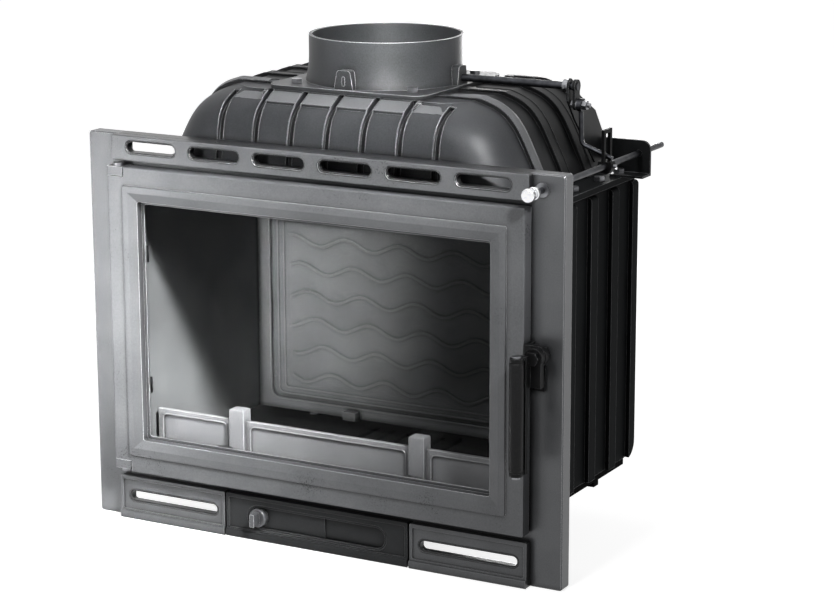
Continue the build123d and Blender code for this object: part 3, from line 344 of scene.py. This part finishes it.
def glassFibreRope():
    # Knitted glass-fibre rope and tape: matt dark grey yarn with visible loops.
    material, tree, shader, place = startMaterial("glassFibreRope")
    yarn = addNode(tree, "ShaderNodeTexNoise",
                   {"Vector": place, "Scale": 1 / (knit["yarn"] * mm), "Detail": 3.0})
    loops = addNode(tree, "ShaderNodeTexVoronoi",
                    {"Vector": place, "Scale": 1 / (knit["loops"] * mm)})
    colour = addNode(tree, "ShaderNodeValToRGB", {"Fac": yarn.outputs["Fac"]},
                     stops=[(0.35, "#3a3a39"), (0.7, "#77766f")])
    height = addNode(tree, "ShaderNodeMath", {0: yarn.outputs["Fac"], 1: loops.outputs["Distance"]},
                     operation="SUBTRACT")
    bump = addNode(tree, "ShaderNodeBump",
                   {"Height": height.outputs[0], "Strength": 0.8, "Distance": knit["height"] * mm})
    feed(tree, shader, {"Base Color": colour.outputs["Color"], "Normal": bump.outputs["Normal"],
                        "Roughness": 0.9})
    return material


frontTones = ("#4c4d4f", "#5b5c5e", "#dcdddf")  # dark, light, and the bare arris with its painted highlight
frontIron = castIronPaint("satinCastIron", frontTones, 0.31, 0.45)
# The walls of the slots get painted shade in these three, and the panel iron is a darker copy of
# the front iron, as painted shade low on the front.
grilleIron = castIronPaint("grilleCastIron", frontTones, 0.31, 0.45, fade=(-11.6, -10.6, 0.18))
plateIron = castIronPaint("plateCastIron", frontTones, 0.31, 0.45, fade=(0.6, 1.6, 0.18),
                          fadeWithin=0.302)
panelShadedIron = castIronPaint("panelCastIron", ("#424345", "#515254", "#a8a9ab"), 0.34, 0.35,
                          wearAndHighlightShare=0.5, fade=(-9.6, -8.6, 0.22))
lipIron = castIronPaint("rubbedCastIron", ("#2a2b2c", "#373839", "#6a6b6c"), 0.48, 0.05,
                        wearAndHighlightShare=0.1, specular=0.2)
# A much darker copy of the front iron: painted shade low on the front.
drawerShadedIron = castIronPaint("drawerCastIron", ("#1e1f20", "#28292a", "#8c8d8f"), 0.44, 0.05,
                           wearAndHighlightShare=0.5, specular=0.15)
collarIron = castIronPaint("turnedCastIron", ("#242526", "#313234", "#b0b1b3"), 0.46, 0.22,
                           specular=0.2)
# Painted shade: darker from the front rows to the back
domeIron = castIronPaint("domeCastIron", ("#222325", "#2f3032", "#a0a1a3"), 0.46, 0.15,
                         specular=0.18, cornerFrom=0.64, fade=(104.0, 132.0, 0.35))
# A lighter copy of the iron: painted light on faces that tilt up towards the lamps.
facetLitIron = castIronPaint("facetCastIron", ("#434446", "#505153", "#a0a1a3"), 0.42, 0.20,
                          wearAndHighlightShare=0.5)
# A much darker copy of the painted iron: painted shade on the walls that face away from the light.
bodyShadedIron = castIronPaint("bodyCastIron", ("#141516", "#202223", "#a8a9ab"), 0.55, 0.0,
                         specular=0.015)
liningIron = castIronPaint("liningCastIron", ("#565758", "#696b6c", "#a4a5a7"), 0.60, 0.0,
                           specular=0.05)
sootyIron = castIronPaint("sootedCastIron", ("#0b0b0b", "#141414", "#2c2c2d"), 0.70, 0.0,
                          specular=0.01)
fenderIron = castIronPaint("fenderCastIron", ("#6e6f71", "#868789", "#d4d5d7"), 0.52, 0.0)
steel = turnedSteel("turnedSteel", "#6a6b6e", "#8f9093", 0.36)
darkSteel = turnedSteel("darkSteel", "#2c2d2f", "#45464a", 0.40)
blackSteel = stovedBlackSteel("stovedBlackSteel", "#141516", "#1e1f20", 0.42, 0.8, 0.15)
driverSteel = stovedBlackSteel("oiledBlackSteel", "#0d0d0e", "#151516", 0.50, 0.1, 0.05)
latchSteel = stovedBlackSteel("blackForgedSteel", "#070708", "#0e0e0f", 0.40, 0.25, 0.15)
gripResin = phenolicGrip()
rope = glassFibreRope()

finishes = [
    (frontIron, "door_frame hinge_lugs air_knob"),
    (plateIron, "front_frame"),
    (grilleIron, "top_grille"),
    (panelShadedIron, "lower_panel_left lower_panel_right"),
    (drawerShadedIron, "drawer_front air_plate air_guide"),
    (collarIron, "flue_collar"),
    (domeIron, "firebox_dome"),
    (bodyShadedIron, "top_flange side_wall_left side_wall_right back_wall damper_blade"),
    (liningIron, "side_lining_left side_lining_right fireback fireback_lugs baffle_plate"),
    (sootyIron, "firebox_base grate"),
    (fenderIron, "log_fender fender_posts"),
    (steel, "glass_clips clip_screws"),
    (darkSteel, "damper_shaft control_rod damper_lever levelling_feet"),
    (latchSteel, "latch_lever latch_bracket latch_bolt latch_nut latch_cam latch_keeper"),
    (driverSteel, "rod_driver"),
]
nodeMaterials = {name: material for material, names in finishes for name in names.split()}
slotMaterials = {"steel": steel, "black_steel": blackSteel, "grip": gripResin,
                 "chrome": polishedChrome(), "glass": ceramicGlass(), "rope": rope,
                 "cast_iron": frontIron}
for name, node in nodes.items():
    node.data.materials.clear()
    node.data.materials.append(nodeMaterials.get(name, slotMaterials[slotOf[name]]))
print("materials assigned")


# Geometry Nodes that several pieces share

def startNodes(name, sizes):
    # A node tree with a geometry input and output and one named input for each size.
    tree = bpy.data.node_groups.new(name, "GeometryNodeTree")
    tree.interface.new_socket("Geometry", in_out="INPUT", socket_type="NodeSocketGeometry")
    for label, kind in sizes.items():
        tree.interface.new_socket(label, in_out="INPUT", socket_type=kind)
    tree.interface.new_socket("Geometry", in_out="OUTPUT", socket_type="NodeSocketGeometry")
    return tree, addNode(tree, "NodeGroupInput"), addNode(tree, "NodeGroupOutput")


def endNodes(tree, source, sink, geometry):
    # Real geometry with the piece's material on it.
    real = addNode(tree, "GeometryNodeRealizeInstances", {"Geometry": geometry})
    done = addNode(tree, "GeometryNodeSetMaterial", {"Geometry": real.outputs["Geometry"],
                                                     "Material": source.outputs["Finish"]})
    tree.links.new(done.outputs["Geometry"], sink.inputs["Geometry"])
    return tree


def runNodes(name, mesh, tree, values):
    # Runs a node tree on a mesh and leaves a plain, outward-facing mesh.
    piece = addObject(name, mesh)
    modifier = piece.modifiers.new("nodes", "NODES")
    modifier.node_group = tree
    for item in tree.interface.items_tree:
        if item.item_type == "SOCKET" and item.in_out == "INPUT" and item.name in values:
            modifier[item.identifier] = values[item.name]
    settle(piece, name)
    loose = bmesh.new()
    loose.from_mesh(piece.data)
    bmesh.ops.remove_doubles(loose, verts=loose.verts, dist=0.01 * mm)
    bmesh.ops.recalc_face_normals(loose, faces=loose.faces)
    loose.to_mesh(piece.data)
    loose.free()
    return piece


def beadTree():
    # Sweeps a round bead along every edge path.
    tree, source, sink = startNodes("castBead", {"Radius": "NodeSocketFloat",
                                                 "Sides": "NodeSocketInt",
                                                 "Finish": "NodeSocketMaterial"})
    path = addNode(tree, "GeometryNodeMeshToCurve", {"Mesh": source.outputs["Geometry"]})
    section = addNode(tree, "GeometryNodeCurvePrimitiveCircle",
                      {"Radius": source.outputs["Radius"], "Resolution": source.outputs["Sides"]})
    swept = addNode(tree, "GeometryNodeCurveToMesh",
                    {"Curve": path.outputs["Curve"], "Profile Curve": section.outputs["Curve"],
                     "Fill Caps": True})
    return endNodes(tree, source, sink, swept.outputs["Mesh"])


def rimTree():
    # Sets a round-ended ring on every point, standing in the X-Z plane.
    tree, source, sink = startNodes("slotRim", {"Length": "NodeSocketFloat",
                                                "Height": "NodeSocketFloat",
                                                "Radius": "NodeSocketFloat",
                                                "Finish": "NodeSocketMaterial"})
    box = addNode(tree, "GeometryNodeCurvePrimitiveQuadrilateral",
                  {"Width": source.outputs["Length"], "Height": source.outputs["Height"]})
    # Just under half the height, so that the rounded corners don't meet
    half = addNode(tree, "ShaderNodeMath", {0: source.outputs["Height"], 1: 0.499},
                   operation="MULTIPLY")
    ends = addNode(tree, "GeometryNodeFilletCurve",
                   {"Curve": box.outputs["Curve"], "Radius": half.outputs[0], "Count": 8},
                   mode="POLY")
    section = addNode(tree, "GeometryNodeCurvePrimitiveCircle",
                      {"Radius": source.outputs["Radius"], "Resolution": 8})
    swept = addNode(tree, "GeometryNodeCurveToMesh",
                    {"Curve": ends.outputs["Curve"], "Profile Curve": section.outputs["Curve"]})
    points = addNode(tree, "GeometryNodeMeshToPoints", {"Mesh": source.outputs["Geometry"]})
    spread = addNode(tree, "GeometryNodeInstanceOnPoints",
                     {"Points": points.outputs["Points"], "Instance": swept.outputs["Mesh"],
                      "Rotation": (math.pi / 2, 0, 0)})
    return endNodes(tree, source, sink, spread.outputs["Instances"])


castBead = beadTree()
slotRim = rimTree()


def pathMesh(name, paths):
    # Edge paths in metres; each path is a list of points and whether it closes.
    mesh = bpy.data.meshes.new(name)
    points = []
    edges = []
    for path, closed in paths:
        first = len(points)
        points += [tuple(point) for point in path]
        edges += [(first + i, first + i + 1) for i in range(len(path) - 1)]
        if closed:
            edges.append((len(points) - 1, first))
    mesh.from_pydata(points, edges, [])
    return mesh


def addBeads(name, paths, radius, material, body="insert", sides=8, replaces=()):
    piece = runNodes(name, pathMesh(name, paths), castBead,
                     {"Radius": radius * mm, "Sides": sides, "Finish": material})
    finishPiece(piece, body, replaces=replaces)


def addRims(name, places, length, height, radius, material, body):
    mesh = bpy.data.meshes.new(name)
    mesh.from_pydata([(x * mm, y * mm, z * mm) for x, y, z in places], [], [])
    piece = runNodes(name, mesh, slotRim,
                     {"Length": length * mm, "Height": height * mm, "Radius": radius * mm,
                      "Finish": material})
    finishPiece(piece, body)


def roundedPath(halfWidth, z0, z1, y, corner, steps=6):
    # A closed rounded rectangle standing in the X-Z plane, in mm, returned in metres.
    path = []
    for sx, sz, start in ((1, 1, 0), (-1, 1, 90), (-1, -1, 180), (1, -1, 270)):
        cx = sx * (halfWidth - corner)
        cz = (z1 - corner) if sz > 0 else (z0 + corner)
        for i in range(steps + 1):
            a = math.radians(start + 90 * i / steps)
            x = cx + corner * math.cos(a)
            z = cz + corner * math.sin(a)
            path.append((x * mm, y * mm, z * mm))
    return path


# Slots: a small rolled lip round each slot in the grille, the panels and the drawer

slots = {
    "grilleCount": 6, "grillePitch": 97.7, "grilleZ": 512.0, "grilleLength": 79.4,
    "grilleHeight": 18.4, "face": -12.0, "field": -10.0, "lip": 0.55,
    "panelX": 223.25, "panelZ": 32.5, "panelLength": 143.6, "panelHeight": 18.1,
    "recessZ": 31.5, "recessLength": 211.4, "recessHeight": 34.4,
}
grillePlaces = [((i - (slots["grilleCount"] - 1) / 2) * slots["grillePitch"], slots["face"],
                 slots["grilleZ"]) for i in range(slots["grilleCount"])]
addRims("grille_slot_lips", grillePlaces, slots["grilleLength"], slots["grilleHeight"],
        slots["lip"], lipIron, "insert")
addRims("panel_slot_lips", [(side * slots["panelX"], slots["field"], slots["panelZ"])
                            for side in (-1, 1)],
        slots["panelLength"], slots["panelHeight"], slots["lip"], lipIron, "insert")
addRims("drawer_recess_lip", [(0, slots["field"], slots["recessZ"])], slots["recessLength"],
        slots["recessHeight"], slots["lip"], drawerShadedIron, "ash_drawer")
print("slot lips made")


# Dome: cast lips beside the grooves and along the side bands

domeShape = {
    "base": 479.0,        # mm, just above the dome's foot
    "innerY": 120.0,      # mm, a line inside the dome that the grooves turn about
    "innerX": 118.0,      # mm, the same for the bands of each side
    "reach": 600.0, "steps": 44,
}
grooves = {
    "pitch": 53.0, "count": 7, "width": 8.0, "end": 72.0,  # mm
    "beside": 0.9, "radius": 0.8, "angles": (1.5, 84),     # first angle and sweep in degrees
}
bands = {
    "first": 116.0, "pitch": 64.0, "count": 4, "width": 20.0,  # mm
    "inside": 0.7, "radius": 0.9, "gap": 30.0, "angles": (2, 84),
}
frontRibs = {
    "crest": 4.0, "crestFrom": 8.0, "crestTo": 11.0,  # mm, height and run of the crest
    "inset": 0.3, "sunk": 4.0, "footProud": 0.6, "heelProud": 0.3, "bluntness": 0.3,
    "angles": (3, 80),
}
domeMesh = nodes["firebox_dome"].data
domeSurface = BVHTree.FromPolygons([v.co.copy() for v in domeMesh.vertices],
                                   [tuple(f.vertices) for f in domeMesh.polygons])


def domePoint(x, y, direction):
    # The outermost point of the dome along a direction from a point inside it.
    centre = Vector((x * mm, y * mm, domeShape["base"] * mm))
    direction = Vector(direction).normalized()
    reach = domeShape["reach"] * mm
    return domeSurface.ray_cast(centre + direction * reach, -direction, reach)[0]


def anglesOf(shape):
    first, sweep = shape["angles"]
    return [math.radians(first + i * sweep / domeShape["steps"]) for i in range(domeShape["steps"])]


def grooveSide(x):
    path = []
    for a in anglesOf(grooves):
        point = domePoint(x, domeShape["innerY"], (0, -math.cos(a), math.sin(a)))
        if point is None or point.y > grooves["end"] * mm:
            break
        path.append(point)
    return path


def grooveX(index):
    return (index - (grooves["count"] - 1) / 2) * grooves["pitch"]


groovePaths = []
for i in range(grooves["count"]):
    reach = grooves["width"] / 2 + grooves["beside"]
    left = grooveSide(grooveX(i) - reach)
    right = grooveSide(grooveX(i) + reach)
    groovePaths.append((left + right[::-1], False))
addBeads("dome_groove_lips", groovePaths, grooves["radius"], domeIron)


def bandSide(side, y):
    # One edge of a band, in parts where something stands between.
    parts = [[]]
    for a in anglesOf(bands):
        point = domePoint(side * domeShape["innerX"], y, (side * math.cos(a), 0, math.sin(a)))
        last = parts[-1]
        if point is None or (last and (point - last[-1]).length > bands["gap"] * mm):
            parts.append([])
        if point is not None:
            parts[-1].append(point)
    return [(part, False) for part in parts if len(part) > 2]


bandPaths = []
for i in range(bands["count"]):
    y = bands["first"] + i * bands["pitch"]
    for side in (-1, 1):
        for edge in (-1, 1):
            bandPaths += bandSide(side, y + edge * (bands["width"] / 2 - bands["inside"]))
addBeads("dome_band_lips", bandPaths, bands["radius"], domeIron)


def addFrontRibs():
    # The foremost band on each side stands prouder: a wedge with a tall front face.
    y0 = bands["first"] - bands["width"] / 2
    y1 = y0 + bands["width"]
    rib = bmesh.new()
    for side in (-1, 1):
        rows = []
        for i, a in enumerate(anglesOf(frontRibs)):
            out = Vector((side * math.cos(a), 0, math.sin(a)))
            foot = domePoint(side * domeShape["innerX"], y0 + frontRibs["inset"], out)
            heel = domePoint(side * domeShape["innerX"], y1 - frontRibs["inset"], out)
            if foot is None or heel is None:
                continue
            # Full height over most of the run, falling off at both ends
            along = math.sin(math.pi * (i + 1) / (domeShape["steps"] + 1))
            crest = foot + out * frontRibs["crest"] * mm * along ** frontRibs["bluntness"]
            sunk = out * frontRibs["sunk"] * mm
            corners = [foot - sunk, foot + out * frontRibs["footProud"] * mm,
                       crest + Vector((0, frontRibs["crestFrom"] * mm, 0)),
                       crest + Vector((0, frontRibs["crestTo"] * mm, 0)),
                       heel + out * frontRibs["heelProud"] * mm, heel - sunk]
            rows.append([rib.verts.new(corner) for corner in corners])
        for low, high in zip(rows, rows[1:]):
            for j in range(len(low)):
                k = (j + 1) % len(low)
                rib.faces.new([low[j], low[k], high[k], high[j]])
        rib.faces.new(rows[0])
        rib.faces.new(rows[-1][::-1])
    piece = addObject("dome_front_ribs", meshFrom("dome_front_ribs", rib))
    # The same lighter iron, as painted light on the prouder band.
    finishPiece(piece, "insert", facetLitIron)


addFrontRibs()

seatFacets = {
    "front": 46.5, "back": 65.5, "low": 578.2, "high": 588.5,  # mm, the collar seat's bevel
    "lead": 6.0,    # mm, how far in front of it the search starts
    "above": 800.0, "columns": 12, "tries": 60,
    "slope": -0.48, "slopeSlack": 0.05, "sideSlack": 0.12,  # the bevel's normal
    "proud": 0.35, "edge": 0.8, "thickness": 1.2,  # mm
}


def facetRow(surface, x):
    # The first and the last point of the bevel on one line across it.
    found = []
    for y in np.linspace(seatFacets["front"] - seatFacets["lead"], seatFacets["back"],
                         seatFacets["tries"]):
        place, normal = surface.ray_cast(Vector((x * mm, y * mm, seatFacets["above"] * mm)),
                                         Vector((0, 0, -1)))[:2]
        onBevel = (normal is not None and abs(normal.x) < seatFacets["sideSlack"]
                   and abs(normal.y - seatFacets["slope"]) < seatFacets["slopeSlack"])
        if onBevel and seatFacets["low"] * mm < place.z < seatFacets["high"] * mm:
            found.append(place + normal * seatFacets["proud"] * mm)
    return (found[0], found[-1]) if len(found) > 3 else None


def addSeatFacets():
    # The bevelled faces between the grooves get a lighter iron: painted light on faces that tilt up
    # towards the lamps.
    facets = bmesh.new()
    surface = BVHTree.FromObject(nodes["firebox_dome"], bpy.context.evaluated_depsgraph_get())
    inwards = Vector((0, -seatFacets["slope"], -0.88)) * seatFacets["thickness"] * mm
    for i in range(grooves["count"] - 1):
        x0 = grooveX(i) + grooves["width"] / 2
        x1 = x0 + grooves["pitch"] - grooves["width"]
        rows = [facetRow(surface, x) for x in np.linspace(
            x0 + seatFacets["edge"], x1 - seatFacets["edge"], seatFacets["columns"])]
        rows = [row for row in rows if row]
        if len(rows) < 3:
            continue
        top = [[facets.verts.new(point) for point in row] for row in rows]
        under = [[facets.verts.new(point + inwards) for point in row] for row in rows]
        for a, b, c, d in zip(top, top[1:], under, under[1:]):
            facets.faces.new([a[0], b[0], b[1], a[1]])
            facets.faces.new([c[0], c[1], d[1], d[0]])
            facets.faces.new([a[0], c[0], d[0], b[0]])
            facets.faces.new([a[1], b[1], d[1], c[1]])
        facets.faces.new([top[0][0], top[0][1], under[0][1], under[0][0]])
        facets.faces.new([top[-1][0], under[-1][0], under[-1][1], top[-1][1]])
    print("seat facets:", len(facets.faces), "faces")
    piece = addObject("seat_facets", meshFrom("seat_facets", facets))
    finishPiece(piece, "insert", facetLitIron)


addSeatFacets()
print("dome lips made")


# Fireback: stepped border and a plain relief of level waves

firebackRelief = {
    "face": 289.0,
    "borders": [(252.0, 103.0, 415.0, 14.0), (238.0, 112.0, 406.0, 8.0),
                (228.0, 121.0, 397.0, 6.0)],  # mm: half width, bottom, top, corner
    "borderRadius": 1.6,
    "rows": 7, "lowest": 140.0, "highest": 378.0, "halfWidth": 216.0,
    "wave": 86.0, "swing": 7.0, "rowShift": 0.9, "points": 110, "lineRadius": 2.6,
}
borderPaths = [(roundedPath(half, z0, z1, firebackRelief["face"], corner), True)
               for half, z0, z1, corner in firebackRelief["borders"]]
addBeads("fireback_border", borderPaths, firebackRelief["borderRadius"], liningIron)
wavePaths = []
for row in range(firebackRelief["rows"]):
    share = row / (firebackRelief["rows"] - 1)
    rise = share * (firebackRelief["highest"] - firebackRelief["lowest"])
    level = firebackRelief["lowest"] + rise
    path = []
    for x in np.linspace(-firebackRelief["halfWidth"], firebackRelief["halfWidth"],
                         firebackRelief["points"]):
        phase = 2 * math.pi * x / firebackRelief["wave"] + row * firebackRelief["rowShift"]
        z = level + firebackRelief["swing"] * math.sin(phase)
        path.append((x * mm, firebackRelief["face"] * mm, z * mm))
    wavePaths.append((path, False))
addBeads("fireback_waves", wavePaths, firebackRelief["lineRadius"], liningIron, sides=10)
print("fireback relief made")


# Log fender: a rounded rim round each of its three fields

fenderRims = {
    "fields": [(-264.0, -147.0), (-125.0, 125.0), (147.0, 264.0)],
    "inset": 7.0, "z0": 95.0, "z1": 145.0, "face": 20.0, "corner": 8.0, "radius": 1.1,
}
rimPaths = []
for left, right in fenderRims["fields"]:
    middle = (left + right) / 2
    half = (right - left) / 2 - fenderRims["inset"]
    path = roundedPath(half, fenderRims["z0"], fenderRims["z1"], fenderRims["face"],
                       fenderRims["corner"])
    rimPaths.append(([(x + middle * mm, y, z) for x, y, z in path], True))
addBeads("fender_rims", rimPaths, fenderRims["radius"], fenderIron)


# Collar: the cast pip on the front boss

bossMark = {"halfWidth": 2.2, "z0": 601.0, "z1": 613.0, "face": 71.0, "corner": 2.1, "radius": 0.6}
addBeads("boss_mark", [(roundedPath(bossMark["halfWidth"], bossMark["z0"], bossMark["z1"],
                                    bossMark["face"], bossMark["corner"]), True)],
         bossMark["radius"], collarIron)
print("fender rims and boss mark made")


# Door: round rope in its groove

doorRope = {"halfWidth": 283.0, "z0": 92.7, "z1": 464.8, "y": -5.15, "corner": 8.0, "radius": 4.8}
ropePath = roundedPath(doorRope["halfWidth"], doorRope["z0"], doorRope["z1"], doorRope["y"],
                       doorRope["corner"], steps=8)
addBeads("rope_seal", [(ropePath, True)], doorRope["radius"], rope, body="door",
         sides=16, replaces=["door_seal"])


# Handle: turned grip with a collar at each end

gripShape = {
    "x": 312.0, "y": -53.5, "steps": 56,
    "profile": [(0.0, 165.0), (7.0, 165.0), (8.6, 165.7), (9.1, 167.2), (9.15, 171.0),
                (8.95, 171.8), (9.2, 172.8), (9.2, 296.2), (8.95, 297.2), (9.15, 298.0),
                (9.1, 301.8), (8.6, 303.3), (7.0, 304.0), (0.0, 304.0)],
}


def turnedShape(shape):
    # A profile of radius and height, turned about an upright axis.
    turned = bmesh.new()
    rings = []
    for radius, z in shape["profile"]:
        ring = []
        for i in range(shape["steps"] if radius else 1):
            a = 2 * math.pi * i / shape["steps"]
            x = shape["x"] + radius * math.cos(a)
            y = shape["y"] + radius * math.sin(a)
            ring.append(turned.verts.new((x * mm, y * mm, z * mm)))
        rings.append(ring)
    for low, high in zip(rings, rings[1:]):
        for i in range(shape["steps"]):
            j = (i + 1) % shape["steps"]
            corners = [low[i % len(low)], low[j % len(low)],
                       high[j % len(high)], high[i % len(high)]]
            turned.faces.new(list(dict.fromkeys(corners)))
    return turned


grip = addObject("turned_grip", meshFrom("turned_grip", turnedShape(gripShape)))
finishPiece(grip, "latch", gripResin, sharp=50, replaces=["handle_grip"])
print("door rope and grip made")


# Camera, floor and light

studio = {
    "camera": (1.6648, -2.7646, 1.1063),  # where the photograph was taken from
    "yaw": 28.79, "pitch": 13.55, "roll": -0.17,  # degrees
    "focalPixels": 2590.9,
    "imageWidth": 834.0,
    "sensor": 36.0,
    "floorSize": 24.0,
    "floorDrop": 0.0002,  # m under the feet
    "floorNear": 0.80, "floorFar": 0.92,  # glow that the camera sees besides the light
    "middle": (0, 0.25, 0), "nearReach": 0.7, "farReach": 1.9,  # m, where the glow rises
    "fill": 0.17,
}
lamps = {
    # Place, target, size in metres, power in watts, spread in degrees
    "stripLeft": ((-0.69, -0.85, 0.25), (-0.35, 0.0, 0.29), (0.15, 0.46), 0.29, 19),
    "keyFront": ((0.15, -1.75, 2.3), (0.0, 0.1, 0.4), (0.5, 0.5), 30, 180),
    "beamInside": ((1.55, -1.0, 2.05), (-0.26, 0.06, 0.16), (0.35, 0.35), 3.7, 13),
    "beamBack": ((-0.16, -2.0, 0.85), (-0.235, 0.289, 0.26), (0.3, 0.3), 0.8, 7),
    "beamCollar": ((0.85, -1.35, 1.25), (0.0, 0.17, 0.66), (0.14, 0.12), 0.5, 9),
    "softTop": ((-0.4, 0.3, 2.2), (0, 0.1, 0.5), (1.4, 1.0), 6, 180),
    "softBack": ((-0.6, 2.6, 0.55), (0, 0.33, 0.3), (1.6, 0.8), 14, 70),
}


def makeCamera():
    lens = bpy.data.cameras.new("camera")
    lens.sensor_width = studio["sensor"]
    lens.lens = studio["focalPixels"] * studio["sensor"] / studio["imageWidth"]
    lens.clip_end = 100
    camera = addObject("camera", lens)
    yaw, pitch, roll = (math.radians(studio[k]) for k in ("yaw", "pitch", "roll"))
    turn = Matrix.Rotation(yaw, 4, "Z") @ Matrix.Rotation(math.pi / 2 - pitch, 4, "X")
    turn = turn @ Matrix.Rotation(roll, 4, "Z")
    camera.matrix_world = Matrix.Translation(studio["camera"]) @ turn
    bpy.context.scene.camera = camera


def seenRays(tree):
    # 1 for what the camera, a mirror or a pane sees directly, 0 for the light on things
    rays = addNode(tree, "ShaderNodeLightPath")
    mirrored = addNode(tree, "ShaderNodeMath",
                       {0: rays.outputs["Is Glossy Ray"], 1: rays.outputs["Is Transmission Ray"]},
                       operation="MAXIMUM")
    seen = addNode(tree, "ShaderNodeMath",
                   {0: rays.outputs["Is Camera Ray"], 1: mirrored.outputs[0]},
                   operation="MAXIMUM")
    return seen.outputs[0]


def makeFloor():
    # Plain white paper: white to the camera and in reflections, and it keeps the soft shadow.
    half = studio["floorSize"] / 2
    z = -studio["floorDrop"]
    mesh = bpy.data.meshes.new("floor")
    mesh.from_pydata([(-half, -half, z), (half, -half, z), (half, half, z), (-half, half, z)], [],
                     [(0, 1, 2, 3)])
    floor = addObject("floor", mesh)
    material, tree, shader, place = startMaterial("whitePaper")
    reach = addNode(tree, "ShaderNodeVectorMath", {0: place, 1: studio["middle"]},
                    operation="DISTANCE")
    rise = addNode(tree, "ShaderNodeMapRange",
                   {"Value": reach.outputs["Value"], "From Min": studio["nearReach"],
                    "From Max": studio["farReach"], "To Min": studio["floorNear"],
                    "To Max": studio["floorFar"]}, interpolation_type="SMOOTHSTEP")
    glow = addNode(tree, "ShaderNodeMath", {0: seenRays(tree), 1: rise.outputs["Result"]},
                   operation="MULTIPLY")
    feed(tree, shader, {"Base Color": linear("#bcbcbc"), "Roughness": 0.9,
                        "Specular IOR Level": 0.0, "Emission Color": (1, 1, 1, 1),
                        "Emission Strength": glow.outputs[0]})
    mesh.materials.append(material)


def makeWorld():
    # A weak even fill on the object, and plain white where the background is seen
    world = bpy.data.worlds.new("studio")
    bpy.context.scene.world = world
    world.use_nodes = True
    tree = world.node_tree
    tree.nodes.clear()
    fill = addNode(tree, "ShaderNodeBackground",
                   {"Color": (1, 1, 1, 1), "Strength": studio["fill"]})
    white = addNode(tree, "ShaderNodeBackground", {"Color": (1, 1, 1, 1), "Strength": 1.0})
    mixed = addNode(tree, "ShaderNodeMixShader",
                    {0: seenRays(tree), 1: fill.outputs["Background"],
                     2: white.outputs["Background"]})
    addNode(tree, "ShaderNodeOutputWorld", {"Surface": mixed.outputs["Shader"]})


def addLight(name, place, target, size, power, spread):
    lamp = bpy.data.lights.new(name, "AREA")
    lamp.shape = "RECTANGLE"
    lamp.spread = math.radians(spread)
    lamp.size, lamp.size_y = size
    lamp.energy = power
    light = addObject(name, lamp)
    light.visible_camera = False
    aim = (Vector(target) - Vector(place)).to_track_quat("-Z", "Y")
    light.matrix_world = Matrix.Translation(place) @ aim.to_matrix().to_4x4()


makeCamera()
makeFloor()
makeWorld()
for name, values in lamps.items():
    addLight(name, *values)
bpy.context.scene.view_settings.view_transform = "Standard"
print("camera, floor and light ready")
